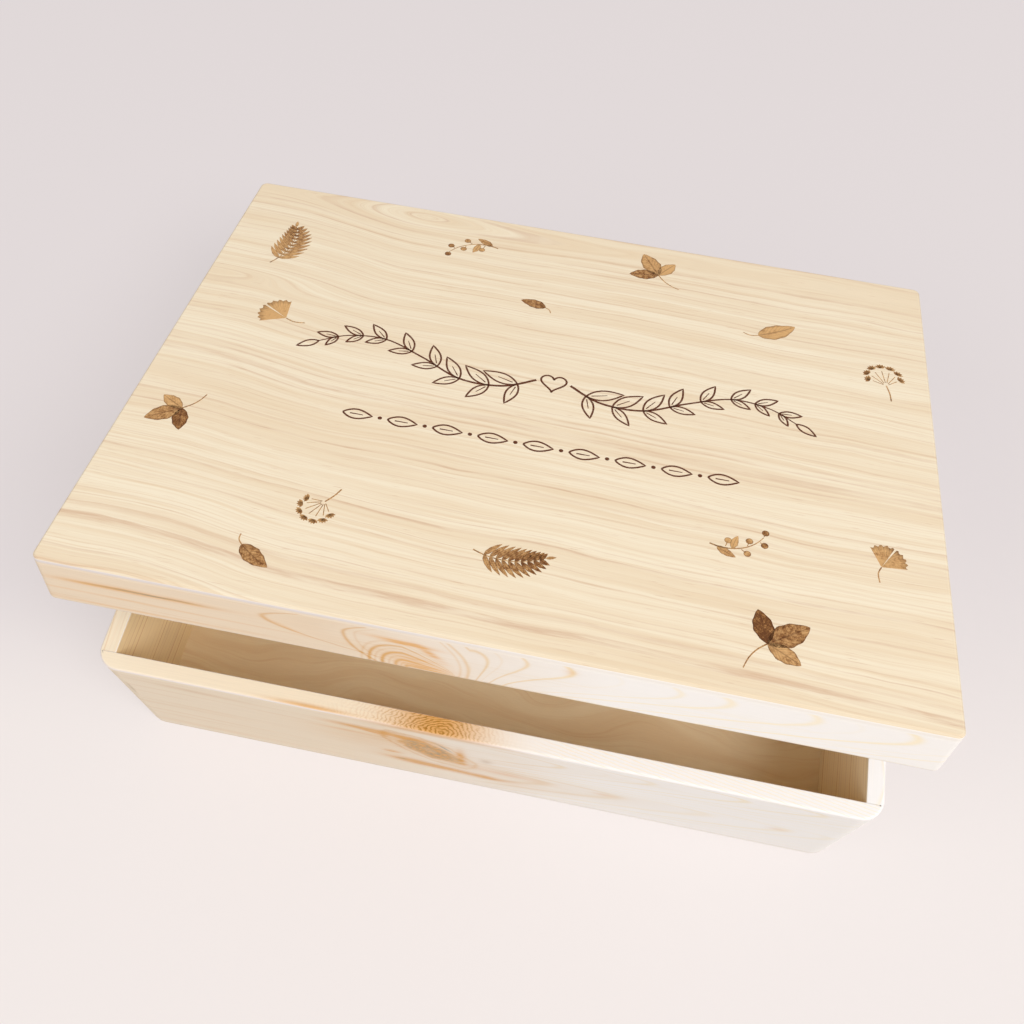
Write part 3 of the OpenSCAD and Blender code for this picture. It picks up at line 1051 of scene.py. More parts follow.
def long_chain(corner, inset):
    """Outer line of the front board in plan, from its left end to its right end."""
    radius = corner - inset
    centre = (HALF_W - corner, -HALF_D + corner)
    if corner > WALL:
        right = arc(centre, radius, -math.pi / 2, -math.asin((corner - WALL) / radius))
    else:
        right = arc(centre, radius, -math.pi / 2, 0.0) + [(HALF_W - inset, -INNER_Y)]
    left = [(-x, y) for x, y in reversed(right)]
    return left + spread(left[-1], right[0], LONG_STEPS) + right


def side_chain(corner, inset):
    """Outer line of the right board in plan, from its front end to its back end."""
    radius = corner - inset
    centre = (HALF_W - corner, -HALF_D + corner)
    if corner > WALL:
        front = arc(centre, radius, -math.asin((corner - WALL) / radius), 0.0)
    else:
        front = [(HALF_W - inset, -INNER_Y)]
    back = [(x, -y) for x, y in reversed(front)]
    return front + spread(front[-1], back[0], LONG_STEPS) + back


def edge_rings(low_z, high_z, low, high, low_inner, high_inner):
    """Inset and height of the outer and inner lines of each ring, and how much sanded tone, partly painted
    reflection, and painted highlight they take.
    """
    rings = []
    for i in range(ROUND_STEPS + 1):
        angle = math.pi / 2 * i / ROUND_STEPS
        cut, lift = 1 - math.sin(angle), 1 - math.cos(angle)
        sanded_and_sheen = math.sin(2 * angle) if low > MM else 0.0
        inner = (low_inner * cut, low_z + low_inner * lift)
        rings.append(((low * cut, low_z + low * lift), inner, sanded_and_sheen, 0.0))
    for i in range(ROUND_STEPS + 1):
        angle = math.pi / 2 * i / ROUND_STEPS
        cut, drop = 1 - math.cos(angle), 1 - math.sin(angle)
        sanded_and_sheen = SANDED_AND_SHEEN_SHARES[i] if high > MM else 0.0
        # The inner line of a sanded top edge carries a painted highlight, given below zero.
        painted_highlight = -math.sin(2 * angle) if high > MM else 0.0
        inner = (high_inner * cut, high_z - high_inner * drop)
        rings.append(((high * cut, high_z - high * drop), inner, sanded_and_sheen, painted_highlight))
    return rings


def loft_loops(bm, loops):
    """Joins closed loops of vertices, each to the next, with quads."""
    for lower, upper in zip(loops, loops[1:]):
        for i in range(len(lower)):
            j = (i + 1) % len(lower)
            bm.faces.new((lower[i], lower[j], upper[j], upper[i]))


def board(chain, corner, rings, inner_of):
    """A board between its outer line and its inner face, with its edges rounded ring by ring."""
    bm = bmesh.new()
    # The layer carries the sanded tone, partly painted reflection, and below zero the painted highlight of the
    # inner top edges.
    sanded_and_sheen_layer = bm.verts.layers.float.new("sanded")
    loops = []
    for (outer_inset, outer_z), (inner_inset, inner_z), sanded_and_sheen, painted_highlight in rings:
        outer = chain(corner, outer_inset)
        loop = []
        for x, y in outer:
            vertex = bm.verts.new((x, y, outer_z))
            vertex[sanded_and_sheen_layer] = sanded_and_sheen
            loop.append(vertex)
        for x, y in reversed(outer):
            vertex = bm.verts.new((*inner_of(x, y, inner_inset), inner_z))
            vertex[sanded_and_sheen_layer] = painted_highlight
            loop.append(vertex)
        loops.append(loop)
    loft_loops(bm, loops)
    count = len(loops[0]) // 2
    for cap in (loops[0], loops[-1]):
        for i in range(count - 1):
            bm.faces.new((cap[i], cap[i + 1], cap[-2 - i], cap[-1 - i]))
    bmesh.ops.remove_doubles(bm, verts=bm.verts, dist=0.001 * MM)
    bmesh.ops.dissolve_degenerate(bm, edges=bm.edges, dist=0.001 * MM)
    return bm


def mirror_mesh(bm, axis):
    """Turns a mesh into its mirror image across the middle plane of an axis."""
    for vertex in bm.verts:
        vertex.co[axis] = -vertex.co[axis]
    bmesh.ops.reverse_faces(bm, faces=bm.faces)
    return bm


def long_board(corner, rings, back=False):
    """The front board or rail, or the back one."""
    bm = board(long_chain, corner, rings, lambda x, y, inset: (x, -INNER_Y - inset))
    return mirror_mesh(bm, 1) if back else bm


def side_board(corner, rings, left=False):
    """The right board or rail, or the left one."""
    bm = board(side_chain, corner, rings, lambda x, y, inset: (INNER_X + inset, y))
    return mirror_mesh(bm, 0) if left else bm


def panel(corner, rings):
    """A panel with the whole outline of the box."""
    bm = bmesh.new()
    loops = []
    for (inset, z), *_ in rings:
        right_front = arc((HALF_W - corner, -HALF_D + corner), corner - inset, -math.pi / 2, 0.0)
        right_back = [(x, -y) for x, y in reversed(right_front)]
        left_back = [(-x, -y) for x, y in right_front]
        left_front = [(-x, y) for x, y in reversed(right_front)]
        outline = []
        for line in (right_front, right_back, left_back, left_front):
            if outline:
                outline += spread(outline[-1], line[0], LONG_STEPS)
            outline += line
        outline += spread(outline[-1], outline[0], LONG_STEPS)
        loops.append([bm.verts.new((x, y, z)) for x, y in outline])
    loft_loops(bm, loops)
    bm.faces.new(loops[0])
    bm.faces.new(loops[-1])
    return bm


def block(low, high):
    """A plain block, used only to cut a recess."""
    bm = bmesh.new()
    middle = (low + high) / 2
    place = Matrix.Translation(middle) @ Matrix.Diagonal((high - low).to_4d())
    bmesh.ops.create_cube(bm, size=1.0, matrix=place)
    return bm


def rod(centre, radius, length):
    """A plain rod along X, used only to cut a groove."""
    bm = bmesh.new()
    bmesh.ops.create_cone(
        bm,
        cap_ends=True,
        segments=32,
        radius1=radius,
        radius2=radius,
        depth=length,
        matrix=Matrix.Translation(centre) @ Matrix.Rotation(math.pi / 2, 4, "Y"),
    )
    return bm


def cut_from(piece, cutters):
    """Cuts shapes out of a piece for good."""
    tools = []
    for bm in cutters:
        tool = add_mesh_object("cutter", bm)
        tool.matrix_world = piece.matrix_world
        modifier = piece.modifiers.new("Cut", "BOOLEAN")
        modifier.operation = "DIFFERENCE"
        modifier.solver = "EXACT"
        modifier.object = tool
        tools.append(tool)
    bpy.context.view_layer.update()
    graph = bpy.context.evaluated_depsgraph_get()
    finished = bpy.data.meshes.new_from_object(piece.evaluated_get(graph))
    piece.modifiers.clear()
    piece.data = finished
    for tool in tools:
        bpy.data.objects.remove(tool)


PIN_END_ROOM = 0.6 * MM  # both ends together


def hinge_cutters(lid):
    """What is let into a back board for the two hinges, with the lid shut."""
    values = sizes()
    cutters = []
    for side in ("left", "right"):
        node = side + "_hinge_" + ("lid" if lid else "base") + "_leaf"
        low, high = shut_box(node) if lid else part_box(node)
        pin_low, pin_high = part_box(side + "_hinge_pin")
        axis = HINGE_POINT
        middle_x = (pin_low.x + pin_high.x) / 2
        half = (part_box(side + "_hinge_base_leaf")[1].x - middle_x) + values.leaf_play
        knuckle = high.y - axis.y
        front = low.y - values.leaf_play
        gap = RAIL_LOW.z - RIM_Z
        if lid:
            z_range = (RIM_Z, axis.z + gap / 2 + values.leaf_thickness)
        else:
            z_range = (axis.z - gap / 2 - values.leaf_thickness, axis.z + MM)
        low_corner = Vector((middle_x - half, front, z_range[0]))
        high_corner = Vector((middle_x + half, axis.y, z_range[1]))
        length = pin_high.x - pin_low.x + PIN_END_ROOM
        cutters.append(block(low_corner, high_corner))
        cutters.append(rod((middle_x, axis.y, axis.z), knuckle + values.knuckle_play, length))
    return cutters


# ------------------------------------------------------------------ print on the lid

INK_SUNK = 0.01 * MM
LEAF_STEPS = 18  # along a leaf
DISC_STEPS = 24  # round a berry or dot
DISC_RINGS = 3
OUTLINE_STEPS = 12  # along one side of a drawn leaf
HEART_STEPS = 48
HEART_SCALE = 0.42
ORNAMENT_MIDDLE = (3.0, 16.0)  # mm on the lid
STEM_STRETCHES = 9  # of a sprig, with a pair of leaves between each two
ROW_Y = -31.0  # mm on the lid, of the row of leaves and dots
ROW_REACH = 8  # leaves and dots on each side of the middle one
ROW_PITCH = 11.4  # mm


def smooth_path(points, steps=8):
    """A smooth line through points in plan (Catmull-Rom)."""
    ends = [points[0], *points, points[-1]]
    line = []
    for p0, p1, p2, p3 in zip(ends, ends[1:], ends[2:], ends[3:]):
        for i in range(steps):
            t = i / steps
            line.append(
                tuple(
                    0.5 * (2 * b + (c - a) * t + (2 * a - 5 * b + 4 * c - d) * t**2
                           + (3 * b - a - 3 * c + d) * t**3)
                    for a, b, c, d in zip(p0, p1, p2, p3)
                )
            )
    return line + [points[-1]]


def toward(place, angle, reach):
    """The point at a distance from a place, in the direction of an angle."""
    return (place[0] + reach * math.cos(angle), place[1] + reach * math.sin(angle))


class Print:
    """Collects ink films on the lid; plan coordinates are millimetres on its face."""

    def __init__(self):
        self.bm = bmesh.new()
        self.layer = self.bm.verts.layers.float_vector.new("leaf_place")

    def vertex(self, x, y, z, leaf):
        made = self.bm.verts.new((x * MM, y * MM, z))
        made[self.layer] = leaf
        return made

    def film(self, rows):
        """A thin closed film over a grid of (x, y, leaf place) points."""
        top_z, low_z = LID_TOP_Z + sizes().ink, LID_TOP_Z - INK_SUNK
        top = [[self.vertex(x, y, top_z, leaf) for x, y, leaf in row] for row in rows]
        low = [[self.vertex(x, y, low_z, leaf) for x, y, leaf in row] for row in rows]
        wide, deep = len(rows[0]), len(rows)
        for r in range(deep - 1):
            for c in range(wide - 1):
                self.bm.faces.new((top[r][c], top[r][c + 1], top[r + 1][c + 1], top[r + 1][c]))
                self.bm.faces.new((low[r + 1][c], low[r + 1][c + 1], low[r][c + 1], low[r][c]))
        border = [(0, c) for c in range(wide)]
        border += [(r, wide - 1) for r in range(1, deep)]
        border += [(deep - 1, c) for c in range(wide - 2, -1, -1)]
        border += [(r, 0) for r in range(deep - 2, 0, -1)]
        for (r0, c0), (r1, c1) in zip(border, border[1:] + border[:1]):
            self.bm.faces.new((top[r0][c0], low[r0][c0], low[r1][c1], top[r1][c1]))

    def stroke(self, line, width, taper=0.0):
        """A line of a full width at its start, less the taper at its end."""
        rows = []
        last = len(line) - 1
        for i, (x, y) in enumerate(line):
            ahead, behind = line[min(i + 1, last)], line[max(i - 1, 0)]
            dx, dy = ahead[0] - behind[0], ahead[1] - behind[1]
            length = math.hypot(dx, dy) or 1.0
            half = (width - taper * (i / last)) / 2
            nx, ny = -dy / length * half, dx / length * half
            leaf = (i / last, 0.5, 0.6)
            rows.append([(x - nx, y - ny, leaf), (x + nx, y + ny, leaf)])
        self.film(rows)

    def leaf(self, x, y, turn, length, width, blunt=0.8, bend=0.0, depth=0.5):
        """A filled leaf from its foot at (x, y); blunt above 1 puts the widest part near the tip."""
        rows = []
        for i in range(LEAF_STEPS + 1):
            u = i / LEAF_STEPS
            angle = turn + bend * u
            centre_x = x + length * u * math.cos(turn + bend * u / 2)
            centre_y = y + length * u * math.sin(turn + bend * u / 2)
            half = 0.04
            if 0 < i < LEAF_STEPS:
                half = max(width / 2 * math.sin(math.pi * u**blunt) ** 0.8, half)
            wave = 1 + 0.05 * math.sin(u * 23 + x)
            row = []
            for j in range(9):
                v = (j - 4) / 4
                offset = half * v * wave
                row.append(
                    (
                        centre_x - math.sin(angle) * offset,
                        centre_y + math.cos(angle) * offset,
                        (u, v, depth),
                    )
                )
            rows.append(row)
        self.film(rows)

    def disc(self, x, y, radius, depth=0.9):
        """A round berry or dot."""
        rows = []
        for i in range(DISC_STEPS + 1):
            angle = 2 * math.pi * i / DISC_STEPS
            row = []
            for r in range(DISC_RINGS + 1):
                reach = radius * max(r, 0.02) / DISC_RINGS
                row.append((*toward((x, y), angle, reach), (0.5, r / DISC_RINGS, depth)))
            rows.append(row)
        self.film(rows)

    def finish(self, name, material):
        bmesh.ops.remove_doubles(self.bm, verts=self.bm.verts, dist=0.002 * MM)
        return make_piece(name, self.bm, material, "lid", lid=True)


def leaf_outline(foot, turn, length, width):
    """The closed line round a pointed leaf, drawn with one stroke."""
    line = []
    for side in (1, -1):
        shares = range(OUTLINE_STEPS + 1) if side > 0 else range(OUTLINE_STEPS - 1, -1, -1)
        for i in shares:
            u = i / OUTLINE_STEPS
            half = side * width / 2 * math.sin(math.pi * u**0.85)
            along = length * u
            line.append(
                (
                    foot[0] + along * math.cos(turn) - half * math.sin(turn),
                    foot[1] + along * math.sin(turn) + half * math.cos(turn),
                )
            )
    return line


def draw_ornament(ink):
    """Two mirrored sprigs that meet at a small heart, over a row of leaves and dots."""
    centre_x, centre_y = ORNAMENT_MIDDLE
    for mirror in (1, -1):
        stem = [(9, 0), (26, -9), (48, -9), (70, 2), (92, 11), (112, 9), (126, 1)]
        line = [(centre_x + mirror * x, centre_y + y) for x, y in smooth_path(stem, 10)]
        ink.stroke(line, 1.5, 0.8)
        for i in range(1, STEM_STRETCHES):
            index = int(i * (len(line) - 1) / STEM_STRETCHES)
            (x0, y0), (x1, y1) = line[index - 1], line[index + 1]
            heading = math.atan2(y1 - y0, x1 - x0)
            size = 1.0 - 0.055 * i
            for side in (1, -1):
                turn = heading + mirror * side * math.radians(48 - 2 * i)
                reach = (21 if side > 0 else 17) * size
                outline = leaf_outline(line[index], turn, reach, reach * 0.36)
                ink.stroke(outline, 1.0)
                rib_end = toward(line[index], turn, reach * 0.7)
                ink.stroke(spread(line[index], rib_end, 5), 0.65, 0.25)
        tip_turn = math.atan2(line[-1][1] - line[-3][1], line[-1][0] - line[-3][0])
        ink.stroke(leaf_outline(line[-1], tip_turn, 12, 4.4), 1.0)
    heart = []
    for i in range(HEART_STEPS + 1):
        t = 2 * math.pi * i / HEART_STEPS
        heart.append(
            (
                centre_x + HEART_SCALE * 16 * math.sin(t) ** 3,
                centre_y + HEART_SCALE * (13 * math.cos(t) - 5 * math.cos(2 * t) - 2 * math.cos(3 * t)
                                   - math.cos(4 * t)),
            )
        )
    ink.stroke(heart, 1.1)
    for i in range(-ROW_REACH, ROW_REACH + 1):
        x = centre_x + i * ROW_PITCH
        if i % 2:
            ink.disc(x, ROW_Y, 1.1)
        else:
            ink.stroke(leaf_outline((x - 7.5, ROW_Y), 0.0, 15.0, 6.5), 1.0)
            ink.stroke(spread((x - 6.0, ROW_Y), (x + 5.0, ROW_Y), 5), 0.8, 0.3)


def bent_stem(x, y, turn, bend, size, steps):
    """Points of a stem through a place, from its foot to its tip, that turns by the bend."""
    shares = [i / steps for i in range(steps + 1)]
    return [toward((x, y), turn + bend * u, size * (u - 0.5)) for u in shares]


def single_leaf(ink, x, y, turn, size, depth):
    """One leaf on a short bent stalk."""
    foot = toward((x, y), turn, -0.5 * size)
    ink.leaf(*foot, turn, size, size * 0.46, blunt=0.8, bend=0.25, depth=depth)
    stalk = [foot, toward(foot, turn - 0.2, -0.18 * size), toward(foot, turn - 0.5, -0.34 * size)]
    ink.stroke(smooth_path(stalk), 0.55)


def three_leaves(ink, x, y, turn, size, depth):
    """A leaf at the end of a stalk, with one at each side."""
    leaves = ((0.0, 0.62, depth), (1.15, 0.5, depth + 0.25), (-1.05, 0.46, depth - 0.2))
    for angle, length, shade in leaves:
        ink.leaf(x, y, turn + angle, size * length, size * length * 0.52, 0.95, 0.12 * angle, shade)
    stalk = [toward((x, y), turn + 0.12 * i, -0.16 * size * i) for i in range(4)]
    ink.stroke(smooth_path(stalk), 0.7, 0.2)


def fern(ink, x, y, turn, size, depth):
    """A frond with pairs of narrow leaves that get shorter to the tip."""
    spine = bent_stem(x, y, turn, 0.5, size, 12)
    ink.stroke(smooth_path(spine, 3), 0.7, 0.45)
    for i in range(2, 12):
        u = i / 12
        reach = size * 0.34 * math.sin(math.pi * (0.22 + 0.72 * u)) ** 0.8
        for side in (1, -1):
            leaf_turn = turn + 0.5 * u + side * (1.15 - 0.35 * u)
            ink.leaf(*spine[i], leaf_turn, reach, size * 0.075, 0.7, -0.3 * side, depth + 0.03 * i)
    ink.leaf(*spine[-1], turn + 0.5, size * 0.14, size * 0.05, 0.8, 0.0, depth)


def berry_twig(ink, x, y, turn, size, depth):
    """A curved twig with berries on short stalks and two small leaves."""
    spine = bent_stem(x, y, turn - 0.35, 0.7, size, 8)
    ink.stroke(smooth_path(spine, 4), 0.8, 0.4)
    for i, side in ((2, 1), (4, -1), (5, 1), (7, -1), (8, 1)):
        angle = turn + side * 0.95
        reach = size * (0.2 - 0.012 * i)
        end = toward(spine[i], angle, reach)
        ink.stroke(spread(spine[i], end, 5), 0.45)
        ink.disc(end[0], end[1], size * 0.062, depth=0.3 + 0.06 * i)
    ink.leaf(*spine[1], turn - 1.0, size * 0.36, size * 0.15, 0.8, 0.3, depth)
    ink.leaf(*spine[3], turn + 1.1, size * 0.3, size * 0.13, 0.8, -0.3, depth - 0.2)


def seed_head(ink, x, y, turn, size, depth):
    """Fine stalks that spread from one point, each with a tuft of seeds."""
    foot = toward((x, y), turn, -0.5 * size)
    hub = toward((x, y), turn, -0.1 * size)
    bend = ((foot[0] + hub[0]) / 2 + 0.5, (foot[1] + hub[1]) / 2)
    ink.stroke(smooth_path([foot, bend, hub]), 0.7)
    for i in range(7):
        angle = turn + (i - 3) * 0.36
        reach = size * (0.46 - 0.018 * abs(i - 3) ** 2)
        end = toward(hub, angle, reach)
        ink.stroke(spread(hub, end, 6), 0.4)
        for j in range(5):
            seed_turn = angle + (j - 2) * 0.5
            ink.leaf(*end, seed_turn, size * 0.11, size * 0.05, 0.9, 0.0, depth + 0.06 * j)


def fan_leaf(ink, x, y, turn, size, depth):
    """A fan-shaped leaf on a long stalk, slit in the middle."""
    foot = toward((x, y), turn, -0.3 * size)
    for side in (1, -1):
        rows = []
        for i in range(15):
            angle = turn + side * (0.035 + 0.9 * i / 14)
            row = []
            for j in range(9):
                v = j / 8
                edge = size * (0.62 + 0.03 * math.sin(i * 1.9) - 0.10 * (i / 14) ** 2)
                point = toward(foot, angle, edge * (0.03 + 0.97 * v))
                row.append((*point, (i / 14, 0.1 + 0.85 * v, depth)))
            rows.append(row)
        ink.film(rows)
    stalk = [foot, toward(foot, turn + 0.15, -0.2 * size), toward(foot, turn + 0.4, -0.42 * size)]
    ink.stroke(smooth_path(stalk), 0.6)


# Prints on the lid: what, place on the lid in mm, turn in degrees, size in mm, depth of brown.
MOTIFS = (
    ("fern_back_left", fern, -163, 92, 70, 38, 0.35),
    ("berry_twig_back", berry_twig, -62, 122, 200, 30, 0.55),
    ("three_leaves_back", three_leaves, 48, 122, 120, 34, 0.45),
    ("single_leaf_back", single_leaf, 118, 88, 25, 24, 0.3),
    ("seed_head_right", seed_head, 176, 62, 100, 30, 0.5),
    ("fan_leaf_left", fan_leaf, -152, 34, 150, 26, 0.25),
    ("single_leaf_middle", single_leaf, -18, 78, 160, 15, 0.7),
    ("three_leaves_left", three_leaves, -172, -48, 215, 30, 0.6),
    ("seed_head_front", seed_head, -88, -92, 240, 26, 0.45),
    ("fern_front", fern, 2, -104, 350, 34, 0.5),
    ("single_leaf_front", single_leaf, -108, -128, 320, 18, 0.65),
    ("berry_twig_right", berry_twig, 104, -72, 20, 28, 0.5),
    ("three_leaves_front", three_leaves, 118, -122, 35, 36, 0.7),
    ("fan_leaf_right", fan_leaf, 172, -62, 60, 22, 0.4),
)


# ------------------------------------------------------------------ operators


class KEEPSAKE_OT_finishes(bpy.types.Operator):
    """Makes the shared effects and the materials"""

    bl_idname = "keepsake.finishes"
    bl_label = "Finishes"
    bl_options = {"REGISTER", "UNDO"}

    def execute(self, context):
        build_fibre()
        build_pine_figure()
        build_rail_lines()
        build_case_lines()
        build_rim_lines()
        build_marks("Rail marks", RAIL_MARKS)
        build_marks("Case marks", CASE_MARKS)
        build_wood_colour()
        build_ply_edge()
        build_ply_face()
        build_printed_grain()
        build_smudges()
        make_front_pine("Pine rail", 3.0, "Rail lines", "Rail marks", False)
        make_front_pine("Pine case", 5.0, "Case lines", "Case marks", True)
        make_pine("Pine back", False, 70.0, 52.0, 9.0, 30.0, 11.0)
        make_pine("Pine side", True, -60.0, 128.0, 16.0, 30.0, 23.0)
        make_plywood()
        make_printed_top()
        make_line_ink()
        make_leaf_ink()
        make_beech()
        make_metal("Brass", colours().brass, 0.26)
        make_metal("Steel", colours().steel, 0.3)
        return {"FINISHED"}


def material(name):
    return bpy.data.materials[name]


def place_boards(boards, body, lid):
    """Makes a frame of four boards, with the hinges let into the back one."""
    for name, node, bm, finish, slot in boards:
        piece = make_piece(name, bm, material(finish), body, [node], lid)
        if name.endswith("_back"):
            cut_from(piece, hinge_cutters(lid))
        smooth_shade(piece)


class KEEPSAKE_OT_case_boards(bpy.types.Operator):
    """Makes the four boards of the case"""

    bl_idname = "keepsake.case_boards"
    bl_label = "Case boards"
    bl_options = {"REGISTER", "UNDO"}

    def execute(self, context):
        values = sizes()
        rings = edge_rings(
            FRONT_LOW.z, RIM_Z, values.seam, values.sanded, values.seam, values.eased
        )
        corner = values.case_corner
        front = long_board(corner, rings)
        back = long_board(corner, rings, back=True)
        left = side_board(corner, rings, left=True)
        right = side_board(corner, rings)
        boards = (
            ("case_front", "base_front_board", front, "Pine case", "pine_front"),
            ("case_back", "base_back_board", back, "Pine back", "pine_front"),
            ("case_left", "base_left_board", left, "Pine side", "pine_side"),
            ("case_right", "base_right_board", right, "Pine side", "pine_side"),
        )
        place_boards(boards, "base", lid=False)
        return {"FINISHED"}


class KEEPSAKE_OT_case_bottom(bpy.types.Operator):
    """Makes the plywood bottom of the case"""

    bl_idname = "keepsake.case_bottom"
    bl_label = "Case bottom"
    bl_options = {"REGISTER", "UNDO"}

    def execute(self, context):
        values = sizes()
        rings = edge_rings(CASE_LOW.z, CASE_HIGH.z, values.sanded / 2, values.seam, 0.0, 0.0)
        bottom = make_piece(
            "case_bottom", panel(values.case_corner, rings), material("Plywood"), "base",
            ["base_bottom_panel"],
        )
        smooth_shade(bottom)
        return {"FINISHED"}


class KEEPSAKE_OT_lid_rails(bpy.types.Operator):
    """Makes the four rails of the lid"""

    bl_idname = "keepsake.lid_rails"
    bl_label = "Lid rails"
    bl_options = {"REGISTER", "UNDO"}

    def execute(self, context):
        values = sizes()
        rings = edge_rings(
            RAIL_LOW.z, RAIL_HIGH.z, values.sanded, values.seam, values.eased, values.seam
        )
        corner = values.lid_corner
        front = long_board(corner, rings)
        back = long_board(corner, rings, back=True)
        left = side_board(corner, rings, left=True)
        right = side_board(corner, rings)
        rails = (
            ("rail_front", "lid_front_rail", front, "Pine rail", "pine_front"),
            ("rail_back", "lid_back_rail", back, "Pine back", "pine_front"),
            ("rail_left", "lid_left_rail", left, "Pine side", "pine_side"),
            ("rail_right", "lid_right_rail", right, "Pine side", "pine_side"),
        )
        place_boards(rails, "lid", lid=True)
        return {"FINISHED"}


class KEEPSAKE_OT_lid_top(bpy.types.Operator):
    """Makes the printed top panel of the lid"""

    bl_idname = "keepsake.lid_top"
    bl_label = "Lid top"
    bl_options = {"REGISTER", "UNDO"}

    def execute(self, context):
        values = sizes()
        rings = edge_rings(TOP_LOW.z, TOP_HIGH.z, values.seam, values.sanded, 0.0, 0.0)
        top = make_piece(
            "top_panel", panel(values.lid_corner, rings), material("Printed top"), "lid",
            ["lid_top_panel"], lid=True,
        )
        smooth_shade(top)
        return {"FINISHED"}


class KEEPSAKE_OT_print(bpy.types.Operator):
    """Makes the ornament and the leaves that are printed on the lid"""

    bl_idname = "keepsake.print"
    bl_label = "Print"
    bl_options = {"REGISTER", "UNDO"}

    def execute(self, context):
        ornament = Print()
        draw_ornament(ornament)
        ornament.finish("print_ornament", material("Line ink"))
        for name, draw, x, y, turn, size, depth in MOTIFS:
            ink = Print()
            draw(ink, x, y, math.radians(turn), size, depth)
            ink.finish("print_" + name, material("Leaf ink"))
        return {"FINISHED"}


class KEEPSAKE_OT_fittings(bpy.types.Operator):
    """Gives the hinges, pins, screws and dowels their finish"""

    bl_idname = "keepsake.fittings"
    bl_label = "Fittings"
    bl_options = {"REGISTER", "UNDO"}

    def execute(self, context):
        finishes = {
            "hinge_brass": "Brass",
            "screw_brass": "Brass",
            "pin_steel": "Steel",
            "dowel_beech": "Beech",
        }
        for row in frame["record"]["subparts"]:
            finish = finishes.get(row["material_slot"])
            if finish is None:
                continue
            node = frame["nodes"][row["node"]]
            node.data.materials.clear()
            node.data.materials.append(material(finish))
            if finish == "Brass":
                bevel = node.modifiers.new("Soft edges", "BEVEL")
                bevel.width = 0.08 * MM
                bevel.segments = 2
                bevel.limit_method = "ANGLE"
                bevel.angle_limit = math.radians(50)
                bevel.use_clamp_overlap = True
        return {"FINISHED"}


class KEEPSAKE_OT_stage(bpy.types.Operator):
    """Makes the floor, the lights and the camera"""

    bl_idname = "keepsake.stage"
    bl_label = "Stage"
    bl_options = {"REGISTER", "UNDO"}

    def execute(self, context):
        make_floor()
        make_lights()
        make_camera()
        return {"FINISHED"}


# ------------------------------------------------------------------ stage

FLOOR_RADIUS = 6.0
FLOOR_FADE = (0.7, 2.6)  # m from the box, over which the floor turns into the background
FLOOR_BOUNCE = 0.62  # share of the light on the floor that it throws on the box
FLOOR_GLOW = 0.65  # share of the floor's own colour that the camera sees whatever the light


def make_floor():
    bm = bmesh.new()
    bmesh.ops.create_circle(bm, cap_ends=True, segments=64, radius=FLOOR_RADIUS)
    floor = add_mesh_object("floor", bm)
    shades = colours()
    material, tree, shader, place = start_material("Floor")
    x, y = split(place)[:2]
    spread_y = at_least(60.0, 190.0 + 0.27 * x)
    back = rise((y + 166.0 - 0.04 * x) / spread_y, 0.0, 1.0)
    away = calc("SQRT", square(x) + square(y))
    rim_of_floor = rise(away, 1500.0, 5000.0)
    back = calc("MAXIMUM", back, rim_of_floor)
    colour = mix(back, shades.floor_near, shades.floor_far)
    path = tree.nodes.new("ShaderNodeLightPath")
    seen = Field(tree, path.outputs["Is Camera Ray"])
    bounce = FLOOR_BOUNCE + (1.0 - FLOOR_BOUNCE) * seen
    plug(tree, shader.inputs["Base Color"], shaded(colour, bounce))
    shader.inputs["Roughness"].default_value = 0.9
    shader.inputs["Specular IOR Level"].default_value = 0.0
    far = rise(away, FLOOR_FADE[0] * PER_MM, FLOOR_FADE[1] * PER_MM)
    glow = add_node(tree, "ShaderNodeEmission", {"Color": colour, "Strength": 1.0})
    share = (FLOOR_GLOW + (1.0 - FLOOR_GLOW) * far) * seen
    blend = add_node(tree, "ShaderNodeMixShader", {0: share})
    tree.links.new(shader.outputs[0], blend.inputs[1])
    tree.links.new(glow.outputs[0], blend.inputs[2])
    output = next(n for n in tree.nodes if n.type == "OUTPUT_MATERIAL")
    tree.links.new(blend.outputs[0], output.inputs["Surface"])
    floor.data.materials.append(material)


SKY_STRENGTH = 0.42
KEY_PLACE = Vector((2.0, -1.55, 3.35))
KEY_SIZE = 2.2
KEY_POWER = 110.0
FILL_PLACE = Vector((-1.9, -1.6, 1.9))
FILL_SIZE = 2.4
FILL_POWER = 30.0
SIDE_PLACE = Vector((3.0, -0.12, 0.62))
SIDE_SIZE = 0.9
SIDE_POWER = 13.0


def make_lamp(name, place, size, power):
    """A large soft lamp that looks at the middle of the box."""
    lamp = bpy.data.lights.new(name, "AREA")
    lamp.shape = "DISK"
    lamp.size = size
    lamp.energy = power
    holder = add_object(name, lamp)
    holder.location = place
    holder.rotation_euler = place.to_track_quat("Z", "Y").to_euler()


